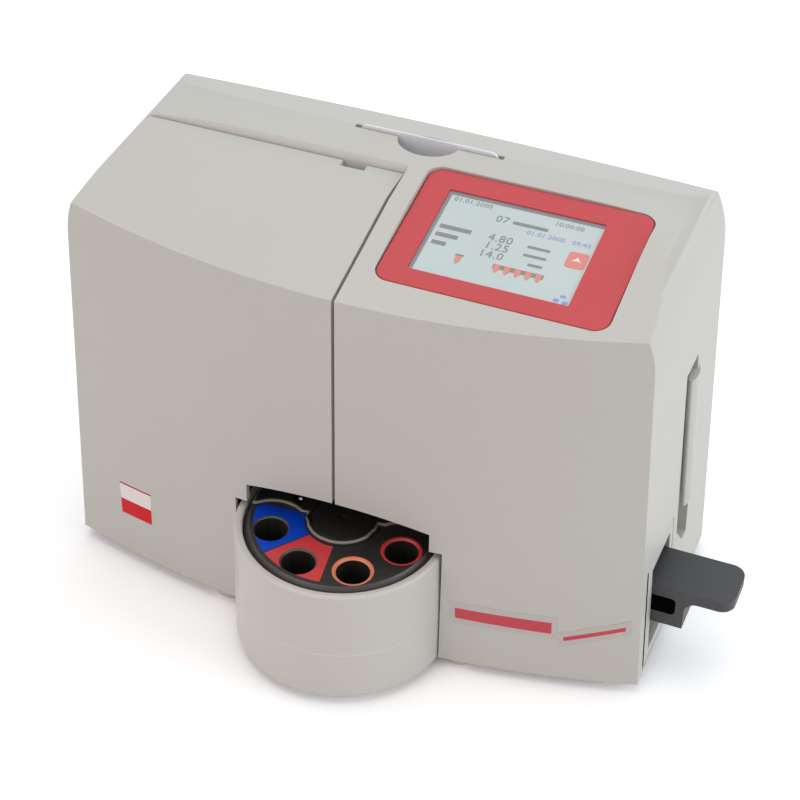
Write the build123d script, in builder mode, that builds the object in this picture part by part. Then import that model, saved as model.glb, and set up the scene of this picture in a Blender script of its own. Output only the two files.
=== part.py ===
# Bench analyzer for glucose and lactate: a small casing with a hinged left cover, a round sample
# tray that stands out at the front, a touch display, a side drawer and a pull-up card.
# Millimetres. Everything is drawn in the casing's frame: X runs right from the casing's middle,
# Y runs back from the front corners, Z runs up from the casing's bottom edge. Each piece is then
# written about the middle of the object's footprint, at the level that it stands on.
import os
from math import cos, radians, sin, sqrt, tan

from build123d import *

os.makedirs("parts", exist_ok=True)

# Casing
body_width = 232.0  # across the bottom edge
body_depth = 89.5  # bottom edge, front corner to back corner
front_bow = 17.0  # how far the middle of the front stands out
back_bow = 6.5
side_draft = 2.2  # degrees, side walls lean in
wall_draft = 0.5  # degrees, front and back walls
top_height = 169.6
shoulder_drop = 24.1  # how far below the top the shoulder begins
shoulder_radius = 45.0
shoulder_lean = 24.0  # degrees, where the tighter top round takes over
crown_radius, crown_lean = 450.0, 85.5  # slight crown of the top and where it begins, degrees
strip_drop = 2.4  # the flat strip behind the slope lies this far below the top
slope_angle = 12.0
back_slope = 19.0
wall = 2.6
foot_height = 4.5

# Lines across the top, counted forward from the back corners
crease_back = 55.1
rise_back = 35.5  # where the right half reaches the full height
band_back = 17.6

# Hinged cover on the left
door_back = 38.2  # its back edge, counted forward from the back corners
seam = 1.2
back_seam = 0.6
step_run = 1.9  # how far the step behind the cover leans back
lip_width = 4.5
lip_thick = 1.6
lip_gap = 0.35
lip_root = 3.2  # how far the lip's root reaches behind the cover
notch_x, notch_width, notch_depth, notch_deep = -19.2, 9.5, 3.6, 8.0
hinge_in, hinge_z = 6.5, 4.0
hinge_pin_radius = 1.5
hinge_play = 0.05
knuckle_radius = 3.2
knuckle_length = 4.0
knuckle_gap = 0.4
knuckle_front, knuckle_back = 9.0, 15.3  # from the front corners and from the cover's back edge
swing_space = (11.0, 8.0)  # corner of the lip cut away for the cover's swing, along x and z
pan_corner = (4.5, 2.2)  # corner of the pan cut away for it, along x and y

# Sample well and rotor
rotor_x, rotor_y = 0.6, -9.0
tray_wall = 3.8
rotor_gap = 0.4  # between the turning rotor and the ring
cover_top = 49.9
tray_draft = 0.6  # how much narrower the ring is at its top
well_cut_top = 52.8
cover_split = 21.0
tray_joint = 0.2
split_gap = 0.6
well_floor_z, well_floor_thick = 22.2, 2.2
opening_inset, opening_side_z, opening_top_z = 0.5, 61.0, 65.0
flat_margin = 0.45  # flat top left outside the tube seats
rim_slope = 3.2
rotor_top, rotor_bottom = 50.3, 27.0
tube_pitch = 26.95
tube_radius = 6.3
tube_depth = 20.0
tube_angles = (210.5, 255.5, 300.5, 345.5)
tube_bevel = 0.7
ring_radius = 7.7
inlay_thick = 0.8
inlay_inner, inlay_split = 14.2, 233.0
deck_angle = 8.0
deck_inset = 1.7
deck_thick = 2.0
deck_scallop = 13.5
deck_screw_radius, deck_screw_deep = 2.2, 1.0
deck_screw_at = ((19.2, 162.0), (19.2, 18.0), (30.0, 48.0), (30.0, 132.0))  # radius and angle
hub_radius, hub_recess_radius, hub_recess = 13.8, 12.0, 1.2
rinse_angle, rinse_radius, rinse_depth = 110.0, 5.0, 17.0
shaft_radius = 2.5
running = 0.05  # radial clearance of a shaft in its bush
bush_radius, bush_flange = 7.0, 1.2
motor_engage = 10.0  # how far the shaft reaches into the motor
rotor_motor_side = 35.0
hood_gap, hood_wall, hood_roof_z = 1.1, 1.6, 66.0
hood_front_y = -11.0

# Display
panel_tilt = 8.8
panel_left_x, panel_front_y = 8.4, -1.16
panel_drop = 5.72  # the middle of its face lies this far below the top
panel_right, panel_back = 23.6, 30.0  # what the casing keeps beside it and behind it
panel_corner = 5.5
panel_thick = 1.6
rim_gap = 0.4
rim_floor = 2.0
rim_stiff = 2.5  # thickened wall round the recess
screen_at = (-2.9, -0.6)  # middle of the picture from the middle of the panel
screen_border = (25.9, 17.4)  # red border, both sides together, across and up
glass_drop = 0.3
module_thick = 5.0

# Card
card_x, card_back = 1.5, 18.0
card_width, card_height, card_thick, card_corner = 54.0, 85.6, 0.8, 3.2
card_stand = 1.2
slot_width, slot_depth = 58.0, 2.6
card_play = 0.4
thumb_width, thumb_front, thumb_back, thumb_deep = 11.8, 10.0, 5.0, 9.0
sleeve_wall = 1.6

# Drawer
drawer_front_y, drawer_back = 6.3, 49.8
drawer_low_z, drawer_high_z = 2.6, 50.4
drawer_gap = 0.5
drawer_reach = 64.0  # how far it runs in from the casing's bottom edge
drawer_box_z = (5.0, 36.0)
drawer_wall = 1.6
grip_front, grip_back = 7.3, 4.3  # bare front on each side of the grip
grip_top, grip_thick = 39.3, 4.6
grip_tip_out = 29.0  # the grip's tip, counted out from the casing's bottom edge
grip_web_out, grip_web = 11.2, 3.3
grip_bar_low, grip_bar_thick = 21.2, 5.6
grip_back_in, grip_back_thick = 8.5, 2.5
grip_fillet, grip_tip_round = 5.0, 5.5
window_margin = 0.4
window_low, window_high = 6.5, 46.5
guide_thick = 1.8

# Side recess with its lip
recess_front_back = (43.9, 29.1)  # its front and back edge from the back corners
recess_low_z, recess_top_drop = 27.0, 57.1
recess_deep = 7.0
recess_wall = 1.6
recess_cut = (9.0, 11.0)  # slanted corner at the lower front, along y and z
recess_lip_low, recess_lip_drop = 41.0, 63.6
recess_lip_back = 37.5
recess_lip_proud = 1.6

# Back panel with sockets
socket_in = 25.0
socket_window = (30.0, 92.0)  # width and height
socket_window_z = 84.0
socket_plate_in, socket_plate_thick, socket_cut = 4.1, 1.8, 6.0
socket_faces = {  # height above the bottom edge, width and height of the opening
    "serial": (122.0, 18.0, 9.0),
    "network": (103.0, 15.0, 13.0),
    "usb_high": (87.0, 14.0, 6.5),
    "usb_low": (70.0, 14.0, 6.5),
    "power": (52.0, 24.0, 18.0),
}
socket_wall, socket_proud = 1.6, 0.8
contact_height = 1.5

# Ventilation slots in the back wall
vent_count, vent_pitch, vent_width, vent_height, vent_deep = 9, 6.0, 2.4, 24.0, 26.0
vent_in, vent_low, vent_top_drop = 38.0, 40.0, 51.6

# Feet and screws underneath
foot_radius, foot_stem = 6.3, 3.8
foot_front = (47.8, -6.0)
foot_back_in = (20.0, 9.5)  # from the side and the back corners
screw_radius, boss_radius, screw_top = 1.45, 3.6, 16.0
screw_head_radius, screw_head = 2.8, 2.0
screw_front = ((12.5, 2.3), (56.0, -6.5))  # from the right side, and back from the front corners
screw_side_in, boss_top = 6.1, 30.0

# Inside
pan_low, pan_thick = 0.8, 2.5
pan_gap = 0.4
frame_back_in, frame_thick = 37.0, 1.6
frame_side_in, frame_top_drop = 16.0, 23.6
frame_foot = 7.0
divider_x, divider_low, divider_front = 6.4, 71.0, -4.0
board_thick, board_standoff, standoff_radius, standoff_in = 1.6, 4.0, 2.5, 5.0
board_sides_in = (18.0, 78.0)  # a board's near and far edge from the casing's side
main_board_low, main_board_drop = 60.0, 29.6
power_board_z = (20.0, 80.0)
pump_in, pump_drop = 38.0, 51.6
pump_deep, pump_back, pump_wall = 18.5, 4.5, 3.5
pump_shaft_radius, pump_motor_radius, pump_motor_long = 2.0, 13.0, 28.0
roller_count, roller_pitch, roller_radius = 3, 12.0, 4.0
roller_pin_radius, carrier_inset, carrier_cheek = 1.5, 0.5, 1.6
pump_tube_radius, tube_drop = 1.9, 30.0
roller_gap, bed_gap = 0.3, 0.4  # tube to rollers, and tube to the pump's round wall
rod_radius, rod_spread, needle_radius = 1.5, 6.0, 0.8
shelf_thick, shelf_half = 2.5, 15.5
needle_motor_side, needle_motor_tall = 20.0, 9.0
sensor_width, sensor_tall, sensor_deep = 18.0, 32.0, 22.5
sensor_in, sensor_drop = 66.0, 85.6
sensor_cap_radius, sensor_cap_thick = 8.0, 6.0
bottle_in, bottle_width, bottle_front, bottle_gap = 18.0, 38.0, 3.0, 9.5
bottle_drop, bottle_wall = 97.6, 1.4
neck_radius, neck_tall, cap_wall = 9.0, 12.0, 3.0
cradle_wall, cradle_tall, cradle_floor, cradle_play = 2.0, 6.0, 2.0, 0.2
needle_drop, needle_low = 43.6, 69.0
lead_right, lead_back, rods_front = -1.9, 19.7, 10.0  # lead screw from the needle, rods from it
bracket_back = 5.7  # the bracket's front edge behind the needle
carriage_half, carriage_front, carriage_back = 9.5, 4.3, 5.0
carriage_drop, carriage_height = 57.6, 10.0

# What follows from the sizes above
half_width = body_width / 2
shoulder_start = top_height - shoulder_drop
strip_height = top_height - strip_drop
crease_y, rise_end_y = body_depth - crease_back, body_depth - rise_back
band_back_y, door_back_y = body_depth - band_back, body_depth - door_back
hinge_x = hinge_in - half_width
knuckle_y = (knuckle_front, door_back_y - knuckle_back)
panel_width = half_width - panel_left_x - panel_right
panel_height = body_depth - panel_back
panel_x = panel_left_x + panel_width / 2
panel_y = panel_front_y + panel_height / 2 * cos(radians(panel_tilt))
panel_z = top_height - panel_drop
screen_width, screen_height = panel_width - screen_border[0], panel_height - screen_border[1]
card_y = body_depth - card_back
drawer_back_y, drawer_inner_x = body_depth - drawer_back, half_width - drawer_reach
grip_front_y = drawer_front_y + grip_front
grip_width = drawer_back_y - grip_back - grip_front_y
grip_tip_x, grip_web_x = half_width + grip_tip_out, half_width + grip_web_out
grip_back_x = half_width - grip_back_in
recess_y = tuple(body_depth - back for back in recess_front_back)
recess_z = (recess_low_z, top_height - recess_top_drop)
recess_lip_z = (recess_lip_low, top_height - recess_lip_drop)
recess_lip_y = body_depth - recess_lip_back
socket_x, socket_plate_y = half_width - socket_in, body_depth - socket_plate_in
frame_y, frame_half = body_depth - frame_back_in, half_width - frame_side_in
frame_back, frame_top = frame_y + frame_thick, top_height - frame_top_drop
pump_x, pump_z = pump_in - half_width, top_height - pump_drop
carrier_radius = roller_pitch - carrier_inset
tube_bend = roller_pitch + roller_radius + roller_gap + pump_tube_radius
pump_radius = tube_bend + pump_tube_radius + bed_gap + pump_wall
rotor_flat_radius = tube_pitch + tube_radius + flat_margin
rotor_radius = rotor_flat_radius + rim_slope
deck_radius, opening_half = rotor_radius - deck_inset, rotor_radius - opening_inset
well_bore = rotor_radius + rotor_gap
well_outer = well_bore + tray_wall
bottle_x = (bottle_in - half_width, bottle_in + bottle_width - half_width)
bottle_y, bottle_top = (bottle_front, frame_y - bottle_gap), top_height - bottle_drop
needle_top, carriage_z = top_height - needle_drop, top_height - carriage_drop
pan_top = pan_low + pan_thick
rear_places = [(side * (half_width - foot_back_in[0]), body_depth - foot_back_in[1]) for side in (1, -1)]
foot_places = [foot_front, (-foot_front[0], foot_front[1]), *rear_places]
screw_back_y = body_depth - foot_back_in[1]
screw_places = [(half_width - side_in, y) for side_in, y in screw_front]
screw_places += [(side * (half_width - screw_side_in), screw_back_y) for side in (1, -1)]
front_reach = rotor_y - well_outer
back_reach = body_depth + back_bow
middle_x = (grip_tip_x - half_width) / 2
middle_y = (front_reach + back_reach) / 2
footprint = Location((-middle_x, -middle_y, foot_height))
far = 400.0  # longer than the object


def on_rotor(radius, angle):
    return rotor_x + radius * cos(radians(angle)), rotor_y + radius * sin(radians(angle))


def wall_x(z):
    return half_width - z * tan(radians(side_draft))


def front_wall_y(x):
    radius = (half_width**2 + front_bow**2) / (2 * front_bow)
    return radius - front_bow - sqrt(radius**2 - x**2)


def back_wall_y(x):
    radius = (half_width**2 + back_bow**2) / (2 * back_bow)
    return body_depth + back_bow - radius + sqrt(radius**2 - x**2)


def write(piece, label):
    piece.part.label = label
    piece.part.location = footprint
    export_step(piece.part, f"parts/{label}.step")


def block(x, y, z, mode=Mode.ADD):
    with Locations(((x[0] + x[1]) / 2, (y[0] + y[1]) / 2, (z[0] + z[1]) / 2)):
        Box(x[1] - x[0], y[1] - y[0], z[1] - z[0], mode=mode)


def post(x, y, z, radius, mode=Mode.ADD):
    with Locations((x, y, (z[0] + z[1]) / 2)):
        Cylinder(radius, z[1] - z[0], mode=mode)


def bar_along_y(x, z, y, radius, mode=Mode.ADD):
    with Locations(Location((x, (y[0] + y[1]) / 2, z), (90, 0, 0))):
        Cylinder(radius, y[1] - y[0], mode=mode)


def on_arc(centre, radius, angle):
    return centre[0] + radius * cos(angle), centre[1] + radius * sin(angle)


# Right half of the front outline, from the bottom up: wall, two rounds and the top's slight crown
def outline_points(inset, low):
    lean, tip, crown = radians(side_draft), radians(shoulder_lean), radians(crown_lean)
    start = (wall_x(shoulder_start), shoulder_start)
    centre_1 = on_arc(start, -shoulder_radius, lean)
    reach = on_arc(centre_1, shoulder_radius, tip)[1]
    crown_drop = crown_radius * (1 - sin(crown))
    top_radius = (top_height - crown_drop - reach) / (sin(crown) - sin(tip))
    centre_2 = on_arc(centre_1, shoulder_radius - top_radius, tip)
    centre_3 = on_arc(centre_2, top_radius - crown_radius, crown)
    first = on_arc(centre_1, shoulder_radius - inset, lean)
    return [
        (first[0] + (first[1] - low) * tan(lean), low),
        first,
        on_arc(centre_1, shoulder_radius - inset, (lean + tip) / 2),
        on_arc(centre_1, shoulder_radius - inset, tip),
        on_arc(centre_2, top_radius - inset, (tip + crown) / 2),
        on_arc(centre_2, top_radius - inset, crown),
        on_arc(centre_3, crown_radius - inset, (crown + radians(90)) / 2),
        (centre_3[0], top_height - inset),
    ]


# The outer form drawn in by a wall: front outline, side outline and plan cut one another
def casing_form(inset, for_door=False):
    low = -6.0 if inset > 0 else 0.0
    right = outline_points(inset, low)
    left = [(-x, z) for x, z in right]

    pitch, fall = radians(slope_angle), radians(back_slope)
    strip = strip_height - inset
    crease = crease_y + inset * (1 / cos(pitch) - 1) / tan(pitch)
    foot = strip - (crease + far / 4) * tan(pitch)
    over = top_height + 1.0
    back_top = band_back_y - (1.0 + inset / cos(fall)) / tan(fall)
    back_low = over - (far / 3 - back_top) * tan(fall)

    edge = half_width + 8.0
    with BuildPart() as form:
        with BuildSketch(Plane.XZ):
            with BuildLine():
                for side in (right, left):
                    Line(side[0], side[1])
                    for k in (1, 3, 5):
                        ThreePointArc(*side[k:k + 3])
                Line(right[0], left[0])
                Line(right[-1], left[-1])
            make_face()
        extrude(amount=far / 2, both=True)
        with BuildSketch(Plane.YZ):
            with BuildLine():
                if for_door:
                    Polyline(
                        (-far / 4, low), (-far / 4, foot), (crease, strip),
                        (far / 5, strip), (far / 5, low), close=True,
                    )
                else:
                    Polyline(
                        (-far / 4, low), (-far / 4, foot), (crease, strip),
                        (rise_end_y, top_height - inset), (rise_end_y + 1.0, over),
                        (back_top, over), (far / 3, back_low), (far / 3, low), close=True,
                    )
            make_face()
        extrude(amount=far / 2, both=True, mode=Mode.INTERSECT)
        with BuildSketch(Plane.XY.offset(low)):
            front, back = front_wall_y(edge) + inset, back_wall_y(edge) - inset
            with BuildLine():
                ThreePointArc((-edge, front), (0, -front_bow + inset), (edge, front))
                Line((edge, front), (edge, back))
                ThreePointArc((edge, back), (0, back_reach - inset), (-edge, back))
                Line((-edge, back), (-edge, front))
            make_face()
        extrude(amount=top_height + 20.0, taper=wall_draft, mode=Mode.INTERSECT)
    return form.part


outer_form = casing_form(0.0)
inner_form = casing_form(wall)
door_outer = casing_form(0.0, for_door=True)
door_inner = casing_form(wall, for_door=True)
lip_outer = casing_form(wall + lip_gap, for_door=True)
lip_inner = casing_form(wall + lip_gap + lip_thick, for_door=True)

panel_plane = Plane(
    origin=(panel_x, panel_y, panel_z),
    x_dir=(1, 0, 0),
    z_dir=(0, -sin(radians(panel_tilt)), cos(radians(panel_tilt))),
)
panel_floor = panel_plane.offset(-panel_thick)


# A flat plate with round corners on a plane, raised by a height
def plate_on(plane, width, height, corner, thick, mode=Mode.ADD, shift=(0.0, 0.0)):
    with BuildSketch(plane) as outline:
        with Locations(shift):
            RectangleRounded(width, height, corner)
    extrude(outline.sketch, amount=thick, mode=mode)


# The mouth above the rotor and the round clearance for the well
def cut_tray_mouth():
    post(rotor_x, rotor_y, (-far / 4, well_cut_top), well_outer + split_gap, Mode.SUBTRACT)
    left, right = rotor_x - opening_half, rotor_x + opening_half
    low, side = well_cut_top - 8.0, opening_side_z
    with BuildSketch(Plane.XZ.offset(far / 8)) as mouth:
        with BuildLine():
            Polyline((left, side), (left, low), (right, low), (right, side))
            ThreePointArc((right, side), (rotor_x, opening_top_z), (left, side))
        make_face()
    extrude(mouth.sketch, amount=-far / 8 - rotor_y - 12.0, mode=Mode.SUBTRACT)


# The space of the hinged cover, with its leaning back face under the step
def door_space(right_x, gap):
    with BuildPart() as space:
        with BuildSketch(Plane.YZ.offset(right_x)):
            top = top_height + 2.0
            lean = step_run / (top_height - strip_height)
            with BuildLine():
                Polyline(
                    (-far / 8, -far / 16), (door_back_y + gap, -far / 16),
                    (door_back_y + gap, strip_height),
                    (door_back_y + gap + (top - strip_height) * lean, top),
                    (-far / 8, top), close=True,
                )
            make_face()
        extrude(amount=-far / 2)
    return space.part


# Bearing edge that the cover closes on, along the seam and the cover's back edge
def closing_lip():
    root_back, edge = door_back_y + lip_root, seam / 2 + 0.2
    with BuildPart() as bridge:
        block((seam / 2, 4.0), (-far / 8, root_back), (0, far / 2))
        block((-far / 2, 4.0), (door_back_y + back_seam, root_back), (0, far / 2))
        add(casing_form(wall - 0.1), mode=Mode.INTERSECT)
    with BuildPart() as lip:
        block((-lip_width, edge), (-far / 8, root_back - 1.5), (0, far / 2))
        back = (door_back_y - lip_width, door_back_y + back_seam + 0.2)
        block((-far / 2, edge), back, (0, far / 2))
        add(lip_outer, mode=Mode.INTERSECT)
        block((-far / 2, swing_space[0] - half_width), back, (0, swing_space[1]), Mode.SUBTRACT)
        add(bridge.part)
        add(lip_inner, mode=Mode.SUBTRACT)
    return lip.part


def side_opening(y, z):
    block((half_width - 14.0, half_width + 10.0), y, z, Mode.SUBTRACT)


# Slot for the card with a thumb scoop in front of it and behind it
def cut_card_mouth(deep):
    block(
        (card_x - slot_width / 2, card_x + slot_width / 2),
        (card_y - slot_depth / 2, card_y + slot_depth / 2),
        (top_height - deep, top_height + 5.0), Mode.SUBTRACT,
    )
    cut_thumb_scoop(deep)


def cut_thumb_scoop(deep):
    with BuildSketch(Plane.XY.offset(top_height - deep)) as front_half:
        with Locations((card_x, card_y)):
            Ellipse(thumb_width, thumb_front)
            Rectangle(far, far, align=(Align.CENTER, Align.MIN), mode=Mode.SUBTRACT)
    with BuildSketch(Plane.XY.offset(top_height - deep)) as back_half:
        with Locations((card_x, card_y)):
            Ellipse(thumb_width - 2.0, thumb_back)
            Rectangle(far, far, align=(Align.CENTER, Align.MAX), mode=Mode.SUBTRACT)
    extrude(front_half.sketch, amount=deep + 5.0, mode=Mode.SUBTRACT)
    extrude(back_half.sketch, amount=deep + 5.0, mode=Mode.SUBTRACT)


# Outline of the side recess on its own plane, with the slanted lower corner
def recess_block(grow, deep, mode):
    low, high = recess_z[0] - grow, recess_z[1] + grow
    front, back = recess_y[0] - grow, recess_y[1] + grow
    with BuildSketch(Plane.YZ.offset(wall_x(recess_z[1]) - deep)) as outline:
        with BuildLine():
            Polyline(
                (front, low + recess_cut[1]), (front + recess_cut[0], low), (back, low),
                (back, high), (front, high), close=True,
            )
        make_face()
    extrude(outline.sketch, amount=deep + 30.0, mode=mode)


# Round lip that stands out along the back edge of the side recess
def recess_lip():
    draft = radians(side_draft)
    low, high = recess_lip_z
    base = Plane(
        origin=(wall_x(low), 0, low), x_dir=(cos(draft), 0, sin(draft)),
        z_dir=(-sin(draft), 0, cos(draft)),
    )
    back = recess_y[1] + 2.5
    with BuildPart() as lip:
        with BuildSketch(base):
            with BuildLine():
                Line((-wall / 2, back), (0, back))
                ThreePointArc(
                    (0, back), (recess_lip_proud, recess_y[1] - 2.5), (0.6, recess_lip_y + 0.6)
                )
                ThreePointArc(
                    (0.6, recess_lip_y + 0.6), (-0.4, recess_lip_y), (-1.3, recess_lip_y + 0.9)
                )
                Polyline((-1.3, recess_lip_y + 0.9), (-2.4, back - 1.0), (-wall / 2, back))
            make_face()
        extrude(amount=(high - low) / cos(draft))
    return lip.part


casing_lip, door_zone, outer_lip = closing_lip(), door_space(seam / 2, back_seam), recess_lip()

with BuildPart() as main_housing:
    add(inner_form)
    plate_on(
        panel_floor.offset(-rim_floor), panel_width + 2 * (rim_gap + rim_stiff),
        panel_height + 2 * (rim_gap + rim_stiff), panel_corner + rim_stiff, far / 8, Mode.INTERSECT,
    )
    recess_block(recess_wall, recess_deep + recess_wall, Mode.ADD)
    for x, y in screw_places:
        post(x, y, (pan_top + 0.1, boss_top), boss_radius)
    add(outer_form, mode=Mode.INTERSECT)
    add(outer_form - inner_form)
    add(door_zone, mode=Mode.SUBTRACT)
    add(casing_lip)
    plate_on(
        panel_floor, panel_width + 2 * rim_gap, panel_height + 2 * rim_gap,
        panel_corner + rim_gap, far / 8, Mode.SUBTRACT,
    )
    plate_on(
        panel_floor.offset(-rim_floor * 2), screen_width + 4.0, screen_height + 4.0, 1.5,
        rim_floor * 3, Mode.SUBTRACT, screen_at,
    )
    cut_tray_mouth()
    cut_card_mouth(wall + 4.0)
    drawer_z = (drawer_low_z - drawer_gap, drawer_high_z + drawer_gap)
    side_opening((drawer_front_y - drawer_gap, drawer_back_y + drawer_gap), drawer_z)
    recess_block(0, recess_deep, Mode.SUBTRACT)
    add(outer_lip)
    window_z = (socket_window_z - socket_window[1] / 2, socket_window_z + socket_window[1] / 2)
    window_x = (socket_x - socket_window[0] / 2, socket_x + socket_window[0] / 2)
    block(window_x, (body_depth - socket_cut, back_reach + 2.0), window_z, Mode.SUBTRACT)
    for row in (top_height - vent_top_drop, vent_low):
        for k in range(vent_count):
            with Locations((vent_in - half_width + k * vent_pitch, body_depth, row)):
                Box(vent_width, vent_deep, vent_height, mode=Mode.SUBTRACT)
    for x, y in screw_places:
        post(x, y, (pan_top, screw_top + 2.0), screw_radius + running, Mode.SUBTRACT)
write(main_housing, "main_housing")

with BuildPart() as door_shell:
    add(door_outer)
    add(door_inner, mode=Mode.SUBTRACT)
    block((-far / 2, -seam / 2), (-far / 4, door_back_y), (split_gap, far), Mode.INTERSECT)
    cut_tray_mouth()
    notch = (notch_x - notch_width / 2, notch_x + notch_width / 2)
    block(notch, (door_back_y - notch_depth, far / 4), (strip_height - notch_deep, far / 2), Mode.SUBTRACT)
    for y in knuckle_y:
        ends = (y, y + knuckle_length)
        low, high = hinge_z - knuckle_radius, hinge_z + knuckle_radius
        block((-wall_x(hinge_z) + wall / 2, hinge_x), ends, (low, high))
        bar_along_y(hinge_x, hinge_z, ends, knuckle_radius)
        bar_along_y(hinge_x, hinge_z, ends, hinge_pin_radius + hinge_play, Mode.SUBTRACT)
write(door_shell, "door_shell")


# Bottom pan with the lower half of the round well and the arms of the cover's hinge
with BuildPart() as base_pan:
    add(inner_form)
    block((-far, far), (-far, far), (pan_low, pan_top), Mode.INTERSECT)
    with BuildPart(mode=Mode.PRIVATE) as edge_gap:
        add(inner_form)
        offset(amount=-pan_gap)
    add(edge_gap.part, mode=Mode.INTERSECT)
    block((-far, hinge_x + 0.5), (-far, door_back_y + 3.7), (-far, far), Mode.SUBTRACT)
    corner_x, corner_y = hinge_x + pan_corner[0], pan_corner[1]
    block((-far, corner_x), (-far, corner_y), (-far, far), Mode.SUBTRACT)
    post(rotor_x, rotor_y, (0, cover_split), well_outer)
    post(rotor_x, rotor_y, (pan_top, cover_split), well_bore, Mode.SUBTRACT)
    post(rotor_x, rotor_y, (cover_split - 3.8, cover_split), well_bore + 1.8, Mode.SUBTRACT)
    for y in knuckle_y:
        hole = (y - knuckle_gap, y + knuckle_length + knuckle_gap)
        block((hinge_x - 5.0, hinge_x + knuckle_radius + 0.9), hole, (-far, far), Mode.SUBTRACT)
        arm = (hole[1], hole[1] + knuckle_length)
        bar_along_y(hinge_x, hinge_z, arm, knuckle_radius)
        block((hinge_x, hinge_x + 8.0), arm, (hinge_z - knuckle_radius, hinge_z + knuckle_radius))
        bar_along_y(hinge_x, hinge_z, arm, hinge_pin_radius, Mode.SUBTRACT)
    for x, y in screw_places:
        post(x, y, (-far, far), screw_radius + 0.3, Mode.SUBTRACT)
write(base_pan, "base_pan")

with BuildPart() as hinge_pins:
    for y in knuckle_y:
        pin = (y - 0.3, y + 2 * knuckle_length + knuckle_gap)
        bar_along_y(hinge_x, hinge_z, pin, hinge_pin_radius)
write(hinge_pins, "hinge_pins")

with BuildPart() as feet:
    for x, y in foot_places:
        post(x, y, (-foot_height, -0.3), foot_radius)
        post(x, y, (-0.3, pan_low), foot_stem)
    chamfer(feet.faces().group_by(Axis.Z)[0].edges(), 0.8)
write(feet, "feet")

with BuildPart() as base_screws:
    for x, y in screw_places:
        post(x, y, (pan_low - screw_head, pan_low), screw_head_radius)
        post(x, y, (pan_low, screw_top), screw_radius)
write(base_screws, "base_screws")


# Upper half of the well: a round skirt with a rolled rim, a floor and a lip inside the pan
with BuildPart() as tray_cover:
    tall = cover_top - cover_split - tray_joint
    with Locations((rotor_x, rotor_y, cover_top - tall / 2)):
        Cone(well_outer, well_outer - tray_draft, tall)
    fillet(tray_cover.faces().sort_by(Axis.Z)[-1].edges(), 1.4)
    post(rotor_x, rotor_y, (cover_split - 3.2, cover_split + tray_joint), well_bore + 1.6)
    bore = (well_floor_z + well_floor_thick, cover_top)
    post(rotor_x, rotor_y, bore, well_bore, Mode.SUBTRACT)
    mouth = tray_cover.faces().filter_by(GeomType.PLANE).sort_by(Axis.Z)[-1]
    fillet(mouth.inner_wires()[0].edges(), 1.0)
    post(rotor_x, rotor_y, (cover_split - 4.0, well_floor_z), well_bore, Mode.SUBTRACT)
    post(rotor_x, rotor_y, (well_floor_z - 1.0, cover_top), bush_radius, Mode.SUBTRACT)
write(tray_cover, "tray_cover")

with BuildPart() as rotor_bearing:
    floor_top = well_floor_z + well_floor_thick
    post(rotor_x, rotor_y, (well_floor_z, floor_top), bush_radius)
    post(rotor_x, rotor_y, (floor_top, floor_top + bush_flange), bush_radius + 2.0)
    post(rotor_x, rotor_y, (0, far), shaft_radius + running, Mode.SUBTRACT)
write(rotor_bearing, "rotor_bearing")

with BuildPart() as rotor_motor:
    with BuildSketch(Plane.XY.offset(pan_top)):
        with Locations((rotor_x, rotor_y)):
            RectangleRounded(rotor_motor_side, rotor_motor_side, 4.0)
    extrude(amount=well_floor_z - pan_top)
    chamfer(rotor_motor.edges().filter_by(GeomType.LINE).group_by(Axis.Z)[-1], 0.6)
    shaft_hole = (well_floor_z - motor_engage, well_floor_z)
    post(rotor_x, rotor_y, shaft_hole, shaft_radius + running, Mode.SUBTRACT)
write(rotor_motor, "rotor_motor")

with BuildPart() as rotor_shaft:
    post(rotor_x, rotor_y, (well_floor_z - motor_engage + 0.5, rotor_bottom + 7.0), shaft_radius)
    collar = (well_floor_z + well_floor_thick + bush_flange + 0.2, rotor_bottom)
    post(rotor_x, rotor_y, collar, bush_radius)
write(rotor_shaft, "rotor_shaft")


# Sector of a ring round the rotor's axis
def sector(inner, outer, start, end, z, mode=Mode.ADD):
    with BuildSketch(Plane.XY.offset(z[0])) as outline:
        with Locations((rotor_x, rotor_y)):
            Circle(outer)
            Circle(inner, mode=Mode.SUBTRACT)
        with BuildLine():
            tips = [on_rotor(far / 4, start + k * (end - start) / 4) for k in range(5)]
            Polyline((rotor_x, rotor_y), *tips, close=True)
        make_face(mode=Mode.INTERSECT)
    extrude(outline.sketch, amount=z[1] - z[0], mode=mode)


def bevelled_bore(x, y, low, mode=Mode.SUBTRACT):
    post(x, y, (low, rotor_top), tube_radius, mode)
    with Locations((x, y, rotor_top - tube_bevel / 2)):
        Cone(tube_radius, tube_radius + tube_bevel, tube_bevel, mode=mode)


tube_places = [on_rotor(tube_pitch, angle) for angle in tube_angles]
rinse_place = on_rotor(tube_pitch, rinse_angle)
inlay_z = (rotor_top - inlay_thick, rotor_top)
sectors = {
    "blue_inlay": (deck_angle + 182.0, inlay_split - 0.2),
    "red_inlay": (inlay_split + 0.2, deck_angle + 270.0),
}

with BuildPart() as rotor_disc:
    post(rotor_x, rotor_y, (rotor_bottom, rotor_top), rotor_radius)
    chamfer(rotor_disc.edges().group_by(Axis.Z)[-1], length=rim_slope, length2=rim_slope * 0.65)
    for start, end in sectors.values():
        sector(inlay_inner, rotor_flat_radius - 0.4, start, end, inlay_z, Mode.SUBTRACT)
    for x, y in tube_places[2:]:
        post(x, y, inlay_z, ring_radius, Mode.SUBTRACT)
    for x, y in tube_places:
        post(x, y, (rotor_top - tube_depth, rotor_top), tube_radius, Mode.SUBTRACT)
    post(*rinse_place, (rotor_top - rinse_depth, rotor_top), rinse_radius, Mode.SUBTRACT)
    post(rotor_x, rotor_y, (rotor_bottom - 1.0, rotor_bottom + 7.0), shaft_radius, Mode.SUBTRACT)
write(rotor_disc, "rotor_disc")

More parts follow.
